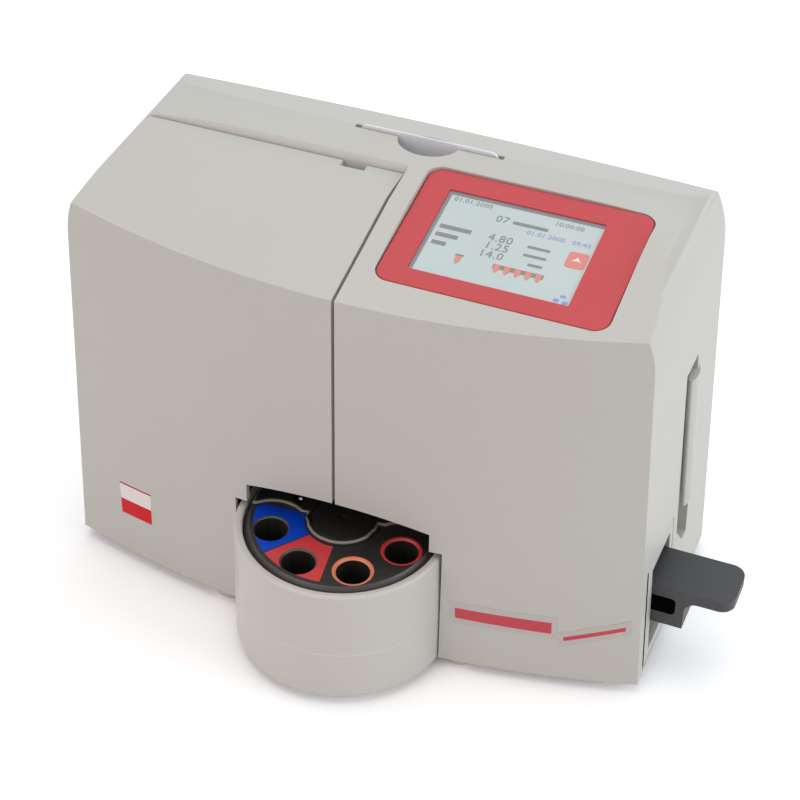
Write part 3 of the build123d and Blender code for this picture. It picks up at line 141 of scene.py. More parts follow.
# mottleMm is the width of a finish's clouds, grainMm that of its grain and depthMm the grain's height. Real
# moulded, ground and printed grain is mostly finer than the render can show, so it is drawn as coarse as it
# needs to show
looks = {
    # injection-moulded ABS from a spark-eroded tool: satin, its grain too fine to see but as soft gloss
    "satinMouldedAbs": {
        "colour": "#CCC9C2", "shade": "#C8C5BD", "mottleMm": 60, "grainMm": 0.5,
        "roughness": 0.5, "glossSpread": 0.04, "relief": 0.06, "depthMm": 0.02, "ior": 1.53},
    # the same ABS from a polished tool: the round tray's two halves, smoother and glossier, in a lighter
    # colour than the casing's: painted light that lifts the shade on the lower half, which faces down
    "smoothAbsPaintedLight": {
        "colour": "#D3CFC9", "shade": "#CECAC3", "mottleMm": 50, "grainMm": 0.8,
        "roughness": 0.33, "glossSpread": 0.03, "relief": 0.03, "depthMm": 0.02, "ior": 1.53},
    # thin bead of the same plastic in the tray's joint, painted near white: a painted highlight for the light
    # line along the joint
    "beadPaintedHighlight": {
        "colour": "#FAF9F5", "shade": "#F4F3EE", "mottleMm": 50, "grainMm": 0.8,
        "roughness": 0.28, "glossSpread": 0.03, "relief": 0.03, "depthMm": 0.02, "ior": 1.53},
    # screen-printed polyester film of the display's frame: flat red ink under a fine matt skin
    "redPrintedFilm": {
        "colour": "#CB3F45", "shade": "#C73B41", "mottleMm": 30, "grainMm": 0.25,
        "roughness": 0.5, "glossSpread": 0.03, "relief": 0.08, "depthMm": 0.01, "ior": 1.57},
    # the same film on the rotor in deep blue, dull
    "bluePrintedFilm": {
        "colour": "#0048CC", "shade": "#0040BE", "mottleMm": 12, "grainMm": 0.3,
        "roughness": 0.5, "glossSpread": 0.03, "relief": 0.06, "depthMm": 0.01, "ior": 1.57, "shine": 0.2},
    # red film on the rotor, a little glossier than the frame's
    "redRotorFilm": {
        "colour": "#DC4043", "shade": "#D5383C", "mottleMm": 12, "grainMm": 0.3,
        "roughness": 0.42, "glossSpread": 0.03, "relief": 0.06, "depthMm": 0.01, "ior": 1.57},
    # orange film ring round a seat, as glossy as the red one
    "orangeRingFilm": {
        "colour": "#EE8B66", "shade": "#E98560", "mottleMm": 12, "grainMm": 0.3,
        "roughness": 0.42, "glossSpread": 0.03, "relief": 0.06, "depthMm": 0.01, "ior": 1.57},
    # glass-filled nylon grip: dark grey, matt, with a fine leather-like grain that shows
    "mattGlassFilledNylon": {
        "colour": "#3B3B3D", "shade": "#343436", "mottleMm": 10, "grainMm": 0.35,
        "roughness": 0.48, "glossSpread": 0.06, "relief": 0.2, "depthMm": 0.03, "ior": 1.53},
    # painted shade: grey strips along the lit picture's top and left edges, where the frame's recess shades
    # it, set a little below the red frame
    "paintedRecessShade": {
        "colour": "#8D9196", "shade": "#868A8F", "mottleMm": 10, "grainMm": 0.4,
        "roughness": 0.4, "glossSpread": 0.03, "relief": 0.03, "depthMm": 0.01, "ior": 1.5},
    # black acetal, turned or milled: deep black with a soft shine
    "milledBlackAcetal": {
        "colour": "#2B2927", "shade": "#252321", "mottleMm": 8, "grainMm": 0.3,
        "roughness": 0.34, "glossSpread": 0.05, "relief": 0.08, "depthMm": 0.02, "ior": 1.48},
    # the same acetal on the rotor's slopes and bevels, painted greyer: a painted sheen for the light they
    # catch
    "acetalBevelPaintedSheen": {
        "colour": "#4E4946", "shade": "#45403E", "mottleMm": 5, "grainMm": 0.25,
        "roughness": 0.4, "glossSpread": 0.05, "relief": 0.1, "depthMm": 0.02, "ior": 1.48},
    # outline bevel of the raised deck, paler still: a painted highlight that reads as a light line
    "deckEdgePaintedHighlight": {
        "colour": "#86807A", "shade": "#7C7670", "mottleMm": 5, "grainMm": 0.25,
        "roughness": 0.38, "glossSpread": 0.05, "relief": 0.1, "depthMm": 0.02, "ior": 1.48},
    # near-black painted shade inside the grip's slot and on the drawer face's edge behind its joint
    "paintedShadeBlack": {
        "colour": "#0A0A0A", "shade": "#070707", "mottleMm": 4, "grainMm": 0.3,
        "roughness": 0.9, "glossSpread": 0.03, "relief": 0.3, "depthMm": 0.03, "ior": 1.5, "shine": 0.1},
    # mid-grey ABS of inner parts: plain and dull
    "greyMouldedAbs": {
        "colour": "#8D9092", "shade": "#868A8C", "mottleMm": 20, "grainMm": 0.5,
        "roughness": 0.5, "glossSpread": 0.05, "relief": 0.08, "depthMm": 0.02, "ior": 1.53},
    # card pocket: the same plastic in a paler, slightly lilac grey
    "lilacGreyMouldedAbs": {
        "colour": "#B3B1B7", "shade": "#ADABB1", "mottleMm": 20, "grainMm": 0.5,
        "roughness": 0.5, "glossSpread": 0.05, "relief": 0.08, "depthMm": 0.02, "ior": 1.53},
    # near-black ABS of sockets and modules: dull, with grey light on its edges
    "darkMouldedAbs": {
        "colour": "#3A3C3E", "shade": "#343638", "mottleMm": 15, "grainMm": 0.5,
        "roughness": 0.5, "glossSpread": 0.05, "relief": 0.1, "depthMm": 0.02, "ior": 1.53},
    # white acetal blocks and rollers: clean white with a waxy shine
    "whiteAcetal": {
        "colour": "#E6E5E0", "shade": "#DEDDD8", "mottleMm": 8, "grainMm": 0.4,
        "roughness": 0.38, "glossSpread": 0.04, "relief": 0.05, "depthMm": 0.01, "ior": 1.48},
    # thermoplastic elastomer feet: pale beige, dull
    "dullBeigeElastomer": {
        "colour": "#CCC6BC", "shade": "#C3BDB3", "mottleMm": 6, "grainMm": 0.4,
        "roughness": 0.7, "glossSpread": 0.05, "relief": 0.2, "depthMm": 0.03, "ior": 1.5},
    # laminated card: white core under clear film
    "laminatedWhiteCard": {
        "colour": "#F1F1F4", "shade": "#EBEBF0", "mottleMm": 20, "grainMm": 0.6,
        "roughness": 0.28, "glossSpread": 0.03, "relief": 0.04, "depthMm": 0.01, "ior": 1.5},
    # powder-coated motor cans: black, with a fine orange-peel relief
    "blackPowderCoat": {
        "colour": "#232427", "shade": "#1C1D20", "mottleMm": 6, "grainMm": 0.5,
        "roughness": 0.55, "glossSpread": 0.06, "relief": 0.3, "depthMm": 0.04, "ior": 1.5},
    # zinc-plated folded sheet: bluish bright metal with a cloudy spangle
    "zincPlatedSheet": {
        "colour": "#C9CCD0", "shade": "#B4B8BE", "mottleMm": 9, "grainMm": 0.6,
        "roughness": 0.34, "glossSpread": 0.08, "relief": 0.06, "depthMm": 0.01, "metallic": 1.0},
    # ground stainless steel: neutral bright metal with a fine even grain
    "groundStainlessSteel": {
        "colour": "#C8C7C4", "shade": "#B6B5B2", "mottleMm": 4, "grainMm": 0.15,
        "roughness": 0.26, "glossSpread": 0.06, "relief": 0.06, "depthMm": 0.01, "metallic": 1.0},
    # oil-soaked sintered bronze bush: brownish yellow, speckled, hardly shiny
    "sinteredBronze": {
        "colour": "#B08A4E", "shade": "#94713C", "mottleMm": 2, "grainMm": 0.2,
        "roughness": 0.45, "glossSpread": 0.08, "relief": 0.25, "depthMm": 0.02, "metallic": 1.0},
    # solder-masked glass-epoxy board: deep green with a soft gloss
    "greenSolderMask": {
        "colour": "#1E6B3A", "shade": "#175A30", "mottleMm": 4, "grainMm": 0.8,
        "roughness": 0.35, "glossSpread": 0.05, "relief": 0.1, "depthMm": 0.02, "ior": 1.5},
    # moulded epoxy of chips and coils: charcoal, matt
    "mouldedEpoxy": {
        "colour": "#2A2A2C", "shade": "#222224", "mottleMm": 3, "grainMm": 0.3,
        "roughness": 0.6, "glossSpread": 0.05, "relief": 0.2, "depthMm": 0.02, "ior": 1.5},
    # blow-moulded polyethylene bottle: milky, waxy
    "milkyPolyethylene": {
        "colour": "#E9E8E1", "shade": "#E0DFD6", "mottleMm": 14, "grainMm": 0.9,
        "roughness": 0.36, "glossSpread": 0.05, "relief": 0.1, "depthMm": 0.04, "ior": 1.51, "milk": 0.5},
    # silicone pump tube: cream-coloured, milky
    "milkySilicone": {
        "colour": "#DDD6C6", "shade": "#D5CDBB", "mottleMm": 6, "grainMm": 0.5,
        "roughness": 0.4, "glossSpread": 0.05, "relief": 0.08, "depthMm": 0.02, "ior": 1.43, "milk": 0.4},
    # moulded polypropylene caps: mid blue, satin
    "blueMouldedCap": {
        "colour": "#2F5F9E", "shade": "#295590", "mottleMm": 6, "grainMm": 0.5,
        "roughness": 0.4, "glossSpread": 0.04, "relief": 0.1, "depthMm": 0.02, "ior": 1.5},
    # clear polyester sticker over the casing: a touch greyer and glossier than the ABS under it
    "clearStickerFilm": {
        "colour": "#C6BFB9", "shade": "#C2BBB5", "mottleMm": 12, "grainMm": 0.4,
        "roughness": 0.3, "glossSpread": 0.03, "relief": 0.04, "depthMm": 0.01, "ior": 1.57},
    # white polyester sticker: flat, a little glossy
    "whiteStickerFilm": {
        "colour": "#F1E9E7", "shade": "#EDE5E3", "mottleMm": 12, "grainMm": 0.4,
        "roughness": 0.32, "glossSpread": 0.03, "relief": 0.04, "depthMm": 0.01, "ior": 1.57},
    # red print on the white sticker: full colour, hardly any shine
    "brightRedStickerInk": {
        "colour": "#DE0A1C", "shade": "#D60818", "mottleMm": 10, "grainMm": 0.3,
        "roughness": 0.35, "glossSpread": 0.03, "relief": 0.04, "depthMm": 0.01, "ior": 1.57, "shine": 0.15},
    # red print on the clear stickers: duller, for the casing shows through
    "redStickerInk": {
        "colour": "#C9323F", "shade": "#C32E3B", "mottleMm": 10, "grainMm": 0.3,
        "roughness": 0.35, "glossSpread": 0.03, "relief": 0.04, "depthMm": 0.01, "ior": 1.57},
    # inks of the display's picture, under its glass: flat and pale, as a lit screen shows them
    "greyInk": {
        "colour": "#8E9290", "shade": "#888C8A", "mottleMm": 3, "grainMm": 0.25,
        "roughness": 0.4, "glossSpread": 0.02, "relief": 0.02, "depthMm": 0.01, "ior": 1.5},
    "blueInk": {
        "colour": "#9AA0EC", "shade": "#949AE6", "mottleMm": 3, "grainMm": 0.25,
        "roughness": 0.4, "glossSpread": 0.02, "relief": 0.02, "depthMm": 0.01, "ior": 1.5},
    "redInk": {
        "colour": "#E9928A", "shade": "#E58C84", "mottleMm": 3, "grainMm": 0.25,
        "roughness": 0.4, "glossSpread": 0.02, "relief": 0.02, "depthMm": 0.01, "ior": 1.5},
    "whiteInk": {
        "colour": "#F4F6F5", "shade": "#EFF1F0", "mottleMm": 3, "grainMm": 0.25,
        "roughness": 0.4, "glossSpread": 0.02, "relief": 0.02, "depthMm": 0.01, "ior": 1.5},
    "oliveInk": {
        "colour": "#8F9078", "shade": "#898A72", "mottleMm": 3, "grainMm": 0.25,
        "roughness": 0.4, "glossSpread": 0.02, "relief": 0.02, "depthMm": 0.01, "ior": 1.5},
}
finish = {name: grainedSurface(name, look) for name, look in looks.items()}
print("finishes made:", len(finish))


# Turned acetal of the rotor: rings left by the tool about its axis. Real ones are some tenths of a
# millimetre apart, and these are drawn coarser so that they show
rotorLook = {"colour": "#312F2D", "shade": "#2A2826", "ringMm": 3.77, "roughness": 0.36, "glossSpread": 0.04,
             "relief": 0.08, "depthMm": 0.02, "ior": 1.48}
rotorAxis = Vector((-0.0139, -0.03195, 0.0))  # the same axis as the tray's


def turnedSurface(name, look, axis):
    material, tree = newMaterial(name)
    place = addNode(tree, "ShaderNodeTexCoord").outputs["Object"]
    centred = addNode(tree, "ShaderNodeMapping", values={"Location": -axis}, links={"Vector": place})
    perUnit = 20 / (2 * pi)  # rings that this texture draws in one unit at scale 1
    rings = addNode(tree, "ShaderNodeTexWave", {"wave_type": "RINGS", "rings_direction": "Z"}, {
        "Scale": 1 / (look["ringMm"] * mm * perUnit), "Distortion": 0.4, "Detail": 2.0}, {
        "Vector": centred.outputs["Vector"]})
    tint = addNode(tree, "ShaderNodeMix", {"data_type": "RGBA"}, {
        "A": linear(look["colour"]), "B": linear(look["shade"])}, {"Factor": rings.outputs["Fac"]})
    gloss = addNode(tree, "ShaderNodeMapRange", values={
        "To Min": look["roughness"] - look["glossSpread"],
        "To Max": look["roughness"] + look["glossSpread"]}, links={"Value": rings.outputs["Fac"]})
    relief = addNode(tree, "ShaderNodeBump", values={
        "Strength": look["relief"], "Distance": look["depthMm"] * mm}, links={"Height": rings.outputs["Fac"]})
    shader = addNode(tree, "ShaderNodeBsdfPrincipled", values={"IOR": look["ior"]}, links={
        "Base Color": tint.outputs["Result"], "Roughness": gloss.outputs["Result"],
        "Normal": relief.outputs["Normal"]})
    finishMaterial(tree, shader)
    return material


finish["turnedBlackAcetal"] = turnedSurface("turnedBlackAcetal", rotorLook, rotorAxis)

# Lit picture under the touch glass: pale bluish grey, faintly cloudy, with the fine grid of its pixels
pictureLook = {"colour": "#C9D4D2", "edge": "#BDC9C8", "cloudMm": 40, "pixelMm": 0.36,
               "pixelGap": (0.965, 0.97, 0.975, 1.0), "roughness": 0.3, "glow": 0.1}


def litPicture(look):
    material, tree = newMaterial("litDisplayPicture")
    place = addNode(tree, "ShaderNodeTexCoord").outputs["Object"]
    clouds = addNode(tree, "ShaderNodeTexNoise", values={
        "Scale": 1 / (look["cloudMm"] * mm), "Detail": 1.0}, links={"Vector": place})
    tint = addNode(tree, "ShaderNodeMix", {"data_type": "RGBA"}, {
        "A": linear(look["edge"]), "B": linear(look["colour"])}, {"Factor": clouds.outputs["Fac"]})
    pixels = addNode(tree, "ShaderNodeTexChecker", values={
        "Scale": 1 / (look["pixelMm"] * mm), "Color1": pureWhite, "Color2": look["pixelGap"]},
        links={"Vector": place})
    cells = addNode(tree, "ShaderNodeMix", {"data_type": "RGBA", "blend_type": "MULTIPLY"}, {
        "Factor": 1.0}, {"A": tint.outputs["Result"], "B": pixels.outputs["Color"]})
    shader = addNode(tree, "ShaderNodeBsdfPrincipled", values={
        "Roughness": look["roughness"], "IOR": 1.5, "Emission Strength": look["glow"]}, links={
        "Base Color": cells.outputs["Result"], "Emission Color": cells.outputs["Result"]})
    finishMaterial(tree, shader)
    return material


finish["litDisplayPicture"] = litPicture(pictureLook)


def meshFrom(bm, name):
    mesh = bpy.data.meshes.new(name)
    bm.to_mesh(mesh)
    bm.free()
    return mesh


# Plain mesh of a helper object with its modifiers; the helper itself goes
def bakedMesh(raw):
    bpy.context.scene.collection.objects.link(raw)
    flat = bpy.data.meshes.new_from_object(raw.evaluated_get(bpy.context.evaluated_depsgraph_get()))
    bpy.data.objects.remove(raw)
    return flat


# Puts a ready mesh into the scene as a piece of the object; without a material's name it keeps its own
def addPiece(name, mesh, materialName, body="root"):
    if materialName:
        mesh.materials.clear()
        mesh.materials.append(finish[materialName])
    piece = bpy.data.objects.new(name, mesh)
    bpy.context.scene.collection.objects.link(piece)
    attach(piece, body)
    return piece


# Starts a tree of Geometry Nodes with named inputs for its sizes
def newShapeTree(name, inputs):
    tree = bpy.data.node_groups.new(name, "GeometryNodeTree")
    tree.is_modifier = True
    for label, kind in inputs.items():
        tree.interface.new_socket(label, in_out="INPUT", socket_type="NodeSocket" + kind)
    tree.interface.new_socket("Geometry", in_out="OUTPUT", socket_type="NodeSocketGeometry")
    return tree, addNode(tree, "NodeGroupInput").outputs


def endShapeTree(tree, geometry, materialName):
    real = addNode(tree, "GeometryNodeRealizeInstances", links={"Geometry": geometry})
    dressed = addNode(tree, "GeometryNodeSetMaterial", values={"Material": finish[materialName]},
                      links={"Geometry": real.outputs["Geometry"]})
    addNode(tree, "NodeGroupOutput", links={"Geometry": dressed.outputs["Geometry"]})


smoothUnder = 32.0  # degrees that faces of a piece made by nodes may turn and still shade as one


# Runs a tree once for each set of sizes and keeps all the results as one plain mesh
def shapesByNodes(name, tree, sizeSets, materialName, body="root"):
    bm = bmesh.new()
    for sizes in sizeSets:
        raw = bpy.data.objects.new(name + "Raw", bpy.data.meshes.new(name + "Raw"))
        modifier = raw.modifiers.new("shape", "NODES")
        modifier.node_group = tree
        for socket in tree.interface.items_tree:
            if socket.in_out == "INPUT":
                modifier[socket.identifier] = sizes[socket.name]
        bm.from_mesh(bakedMesh(raw))
    mesh = meshFrom(bm, name)
    piece = addPiece(name, mesh, materialName, body)
    mesh.shade_smooth()
    mesh.set_sharp_from_angle(angle=radians(smoothUnder))
    return piece


# Gives the faces that a test picks another finish
def otherFinish(mesh, materialName, picks):
    mesh.materials.append(finish[materialName])
    for face in mesh.polygons:
        if picks(face):
            face.material_index = len(mesh.materials) - 1


def inBox(point, box):
    return all(low < c < high for low, c, high in zip(box[0], point / mm, box[1]))


# Of a set of edges, the connected run that reaches farthest: the outline, without the small bores inside it
def longestRun(edges):
    left, best = set(edges), set()
    while left:
        run, ends = set(), [left.pop()]
        while ends:
            edge = ends.pop()
            run.add(edge)
            near = {other for vertex in edge.verts for other in vertex.link_edges} & left
            left -= near
            ends += near
        if sum(e.calc_length() for e in run) > sum(e.calc_length() for e in best):
            best = run
    return best


# Angles in degrees: an edge is sharp above "sharp", or above "creased" inside a piece's soft box, and shades
# smoothly below a share of that
easing = {"weldMm": 0.002, "merge": 0.4, "sharp": 40.0, "creased": 60.0, "smoothShare": 0.8, "segments": 2}


# Copy of a CAD node with its sharp edges eased, as a moulded or machined edge is
def easedCopy(node, look):
    bm = bmesh.new()
    bm.from_mesh(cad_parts[node].data)
    bmesh.ops.remove_doubles(bm, verts=bm.verts, dist=easing["weldMm"] * mm)
    for low, high, step in look.get("moves", ()):
        for vertex in bm.verts:
            if inBox(vertex.co, (low, high)):
                vertex.co += Vector(step) * mm
    bmesh.ops.dissolve_limit(bm, angle_limit=radians(look.get("merge", easing["merge"])),
                             verts=bm.verts, edges=bm.edges)
    weight, chosen = bm.edges.layers.float.new("bevel_weight_edge"), []
    for edge in bm.edges:
        turn, soft = edge.calc_face_angle(0.0), look.get("soft")
        isSoft = soft and all(inBox(v.co, soft) for v in edge.verts)
        limit = radians(easing["creased"] if isSoft else easing["sharp"])
        edge.smooth = turn < easing["smoothShare"] * limit
        if turn > limit and min(v.co.z for v in edge.verts) > look.get("above", -1.0) * mm:
            chosen.append(edge)
    if look.get("outlineOnly"):
        chosen = longestRun(chosen)
    for edge in chosen:
        edge[weight], edge.smooth = 1.0, True
    for face in bm.faces:
        face.smooth = True
    mesh = meshFrom(bm, look["name"])
    mesh.materials.append(finish[look["finish"]])
    mesh.materials.append(finish[look.get("edgeFinish", look["finish"])])

    raw = bpy.data.objects.new(look["name"] + "Raw", mesh)
    ease = raw.modifiers.new("ease", "BEVEL")
    ease.width, ease.segments, ease.limit_method = look["edgeMm"] * mm, easing["segments"], "WEIGHT"
    ease.material, ease.use_clamp_overlap = 1, not look.get("outlineOnly", False)
    even = raw.modifiers.new("even", "WEIGHTED_NORMAL")
    even.keep_sharp = True
    piece = addPiece(look["name"], bakedMesh(raw), None, look.get("body", "root"))
    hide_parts(node)
    return piece


# Edge widths in mm. "moves" shifts the corners inside a box (from, to) by a step, "soft" is a box whose
# slight creases stay smooth, "above" leaves the edges under that height sharp, "outlineOnly" leaves the
# bores sharp, and "merge" joins faces that turn by less than so many degrees
eased = {
    "main_housing": {"name": "casingShell", "finish": "satinMouldedAbs", "edgeMm": 0.8,
                     "soft": ((60.0, -80.0, 60.0), (140.0, 80.0, 180.0)),
                     "moves": [((97.0, 28.9, 45.3), (102.0, 40.0, 45.7), (0.0, 0.0, 5.0))]},
    "door_shell": {"name": "coverShell", "finish": "satinMouldedAbs", "edgeMm": 0.6, "body": "cover"},
    "drawer_front": {"name": "drawerFace", "finish": "satinMouldedAbs", "edgeMm": 0.3, "body": "drawer",
                     "moves": [((60.0, -20.0, 0.0), (120.0, -16.0, 60.0), (0.0, 1.4, 0.0))]},
    "drawer_handle": {"name": "drawerGrip", "finish": "mattGlassFilledNylon", "edgeMm": 0.5,
                      "body": "drawer"},
    "tray_cover": {"name": "trayRing", "finish": "smoothAbsPaintedLight", "edgeMm": 0.3},
    # the deck's outline bevel takes the paler finish, a painted highlight
    "rotor_deck": {"name": "rotorDeckPlate", "finish": "milledBlackAcetal", "edgeFinish": "deckEdgePaintedHighlight",
                   "edgeMm": 0.8, "above": 56.5, "outlineOnly": True, "merge": 9.0, "body": "rotor"},
    "display_bezel": {"name": "displayFrame", "finish": "redPrintedFilm", "edgeMm": 0.12,
                      "moves": [((-200.0, -200.0, 0.0), (200.0, 200.0, 300.0), (0.0, -0.06, 0.39))]},
    "inner_hood": {"name": "rotorHood", "finish": "milledBlackAcetal", "edgeMm": 0.2},
    # The blue film lies on the disc, reaches under the deck and leaves a dark joint beside the red one
    "blue_inlay": {"name": "blueSectorFilm", "finish": "bluePrintedFilm", "edgeMm": 0.0, "body": "rotor",
                   "moves": [((-60.0, -70.0, 54.7), (0.0, 0.0, 55.0), (0.0, 0.0, 0.05)),
                             ((-47.2, -38.1, 53.0), (-46.3, -37.5, 56.0), (-0.43, 3.46, 0.0)),
                             ((-28.1, -34.6, 53.0), (-27.8, -34.2, 56.0), (-0.19, 1.48, 0.0)),
                             ((-34.3, -58.7, 53.0), (-33.7, -58.2, 56.0), (-0.24, 0.18, 0.0)),
                             ((-22.8, -43.5, 53.0), (-22.2, -43.0, 56.0), (-0.24, 0.18, 0.0))]},
}
easedPieces = {}
for node, look in eased.items():
    easedPieces[node] = easedCopy(node, look)
print("eased pieces:", len(easedPieces))

# Painted shade: the inside of the slot through the grip, and the drawer face's front edge seen through the
# joint in front of the drawer, are coloured near-black
gripSlotShade = {"box": ((95.6, -9.0, 31.2), (109.45, 12.2, 39.3)), "mostAhead": 0.3}
drawerJointShade = {"before": -15.0, "leastAhead": 0.8}
otherFinish(easedPieces["drawer_handle"].data, "paintedShadeBlack", lambda face: inBox(
    face.center, gripSlotShade["box"]) and abs(face.normal.y) < gripSlotShade["mostAhead"])
otherFinish(easedPieces["drawer_front"].data, "paintedShadeBlack", lambda face: (
    face.center.y < drawerJointShade["before"] * mm and -face.normal.y > drawerJointShade["leastAhead"]))

# Finish of every other CAD node
nodeFinish = {
    # base_pan takes the tray's lightened ABS, painted light against the shade on its downward-facing side
    "base_pan": "smoothAbsPaintedLight", "drawer_box": "satinMouldedAbs", "drawer_guides": "greyMouldedAbs",
    "feet": "dullBeigeElastomer", "base_screws": "groundStainlessSteel", "hinge_pins": "groundStainlessSteel",
    "rotor_bearing": "sinteredBronze", "rotor_motor": "blackPowderCoat",
    "rotor_shaft": "groundStainlessSteel", "rotor_disc": "turnedBlackAcetal",
    "hub_cap": "milledBlackAcetal", "deck_screws": "groundStainlessSteel",
    "red_inlay": "redRotorFilm", "red_ring": "redRotorFilm", "orange_ring": "orangeRingFilm",
    "display_glass": "litDisplayPicture", "display_module": "darkMouldedAbs",
    "card_pocket": "lilacGreyMouldedAbs", "info_card": "laminatedWhiteCard", "inner_frame": "zincPlatedSheet",
    "main_board": "greenSolderMask", "main_board_parts": "mouldedEpoxy",
    "power_board": "greenSolderMask", "power_board_parts": "mouldedEpoxy",
    "needle_bracket": "zincPlatedSheet", "guide_rods": "groundStainlessSteel",
    "needle_motor": "blackPowderCoat", "lead_screw": "groundStainlessSteel",
    "needle_carriage": "whiteAcetal", "sampling_needle": "groundStainlessSteel",
    "pump_head": "greyMouldedAbs", "pump_motor": "blackPowderCoat", "pump_tube": "milkySilicone",
    "roller_carrier": "darkMouldedAbs", "pump_rollers": "whiteAcetal",
    "sensor_block": "whiteAcetal", "sensor_cap": "blueMouldedCap",
    "system_bottle": "milkyPolyethylene", "bottle_cap": "blueMouldedCap", "bottle_cradle": "greyMouldedAbs",
    "socket_plate": "darkMouldedAbs", "serial_socket": "zincPlatedSheet", "network_socket": "zincPlatedSheet",
    "usb_sockets": "zincPlatedSheet", "power_socket": "darkMouldedAbs",
}
for node, materialName in nodeFinish.items():
    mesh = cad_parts[node].data
    mesh.materials.clear()
    mesh.materials.append(finish[materialName])
print("CAD nodes dressed:", len(nodeFinish))

# The rotor's sloping rim and the bevels of its bores are painted greyer, a painted sheen for the light
# these slopes catch, and the thin sides of the films and rings look as black as the disc. A face is upright
# or level by how far its normal points up
faceUp = {"upright": 0.2, "level": 0.95}
blueFilm = easedPieces["blue_inlay"]
for piece in (blueFilm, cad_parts["red_inlay"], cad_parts["rotor_disc"]):
    otherFinish(piece.data, "acetalBevelPaintedSheen",
                lambda face: faceUp["upright"] < abs(face.normal.z) < faceUp["level"])
for piece in [blueFilm] + [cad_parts[node] for node in ("red_inlay", "orange_ring", "red_ring")]:
    otherFinish(piece.data, "milledBlackAcetal", lambda face: abs(face.normal.z) <= faceUp["upright"])

# Thread of the lead screw: four starts round a core, inside the plain shaft's size
screwThread = {"place": (-25.0174, 13.0747, 74.0), "length": 84.0, "core": 2.15, "outside": 2.5, "lead": 12.0,
               "starts": 4}


def threadTree():
    tree, sizes = newShapeTree("leadScrewThread", {
        "Core": "Float", "Ridge": "Float", "Length": "Float", "Turns": "Float", "Starts": "Int",
        "Place": "Vector"})
    spiral = addNode(tree, "GeometryNodeCurveSpiral", values={"Resolution": 20}, links={
        "Rotations": sizes["Turns"], "Start Radius": sizes["Core"], "End Radius": sizes["Core"],
        "Height": sizes["Length"]})
    ridge = addNode(tree, "GeometryNodeCurvePrimitiveCircle", {"mode": "RADIUS"}, {"Resolution": 4},
                    {"Radius": sizes["Ridge"]})
    swept = addNode(tree, "GeometryNodeCurveToMesh", values={"Fill Caps": True}, links={
        "Curve": spiral.outputs["Curve"], "Profile Curve": ridge.outputs["Curve"]})
    starts = addNode(tree, "GeometryNodeMeshLine", values={"Offset": (0.0, 0.0, 0.0)}, links={
        "Count": sizes["Starts"]})
    index = addNode(tree, "GeometryNodeInputIndex")
    whole = addNode(tree, "ShaderNodeMath", {"operation": "DIVIDE"}, {0: 2 * pi}, {1: sizes["Starts"]})
    turn = addNode(tree, "ShaderNodeMath", {"operation": "MULTIPLY"}, None, {
        0: index.outputs[0], 1: whole.outputs[0]})
    turned = addNode(tree, "ShaderNodeCombineXYZ", links={"Z": turn.outputs[0]})
    ridges = addNode(tree, "GeometryNodeInstanceOnPoints", links={
        "Points": starts.outputs["Mesh"], "Instance": swept.outputs["Mesh"],
        "Rotation": turned.outputs["Vector"]})
    core = addNode(tree, "GeometryNodeMeshCylinder", values={"Vertices": 32}, links={
        "Radius": sizes["Core"], "Depth": sizes["Length"]})
    half = addNode(tree, "ShaderNodeMath", {"operation": "MULTIPLY"}, {1: 0.5}, {0: sizes["Length"]})
    up = addNode(tree, "ShaderNodeCombineXYZ", links={"Z": half.outputs[0]})
    raised = addNode(tree, "GeometryNodeTransform", links={
        "Geometry": core.outputs["Mesh"], "Translation": up.outputs["Vector"]})
    joined = addNode(tree, "GeometryNodeJoinGeometry")
    tree.links.new(raised.outputs["Geometry"], joined.inputs["Geometry"])
    tree.links.new(ridges.outputs["Instances"], joined.inputs["Geometry"])
    placed = addNode(tree, "GeometryNodeTransform", links={
        "Geometry": joined.outputs["Geometry"], "Translation": sizes["Place"]})
    endShapeTree(tree, placed.outputs["Geometry"], "groundStainlessSteel")
    return tree


threaded = shapesByNodes("threadedScrew", threadTree(), [{
    "Core": screwThread["core"] * mm, "Ridge": (screwThread["outside"] - screwThread["core"]) * mm,
    "Length": screwThread["length"] * mm, "Turns": screwThread["length"] / screwThread["lead"],
    "Starts": screwThread["starts"], "Place": inMetres(screwThread["place"])}],
    "groundStainlessSteel", "screw")
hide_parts("lead_screw")

# Grip ribs round the bottle's cap: small bars that stand out of its side
capRibs = {"count": 40, "radius": 12.0, "width": 0.7, "proud": 0.35, "height": 9.0,
           "place": (-93.5, 0.05, 85.0)}


def ribTree():
    tree, sizes = newShapeTree("ribsRoundACap", {
        "Count": "Int", "Radius": "Float", "Bar": "Vector", "Place": "Vector"})
    ring = addNode(tree, "GeometryNodeCurvePrimitiveCircle", {"mode": "RADIUS"}, None, {
        "Resolution": sizes["Count"], "Radius": sizes["Radius"]})
    points = addNode(tree, "GeometryNodeCurveToPoints", {"mode": "EVALUATED"}, None, {
        "Curve": ring.outputs["Curve"]})
    rib = addNode(tree, "GeometryNodeMeshCube", links={"Size": sizes["Bar"]})
    ribs = addNode(tree, "GeometryNodeInstanceOnPoints", links={
        "Points": points.outputs["Points"], "Instance": rib.outputs["Mesh"],
        "Rotation": points.outputs["Rotation"]})
    placed = addNode(tree, "GeometryNodeTransform", links={
        "Geometry": ribs.outputs["Instances"], "Translation": sizes["Place"]})
    endShapeTree(tree, placed.outputs["Geometry"], "blueMouldedCap")
    return tree


shapesByNodes("bottleCapRibs", ribTree(), [{
    "Count": capRibs["count"], "Radius": capRibs["radius"] * mm,
    "Bar": inMetres((2 * capRibs["proud"], capRibs["height"], capRibs["width"])),
    "Place": inMetres(capRibs["place"])}], "blueMouldedCap")

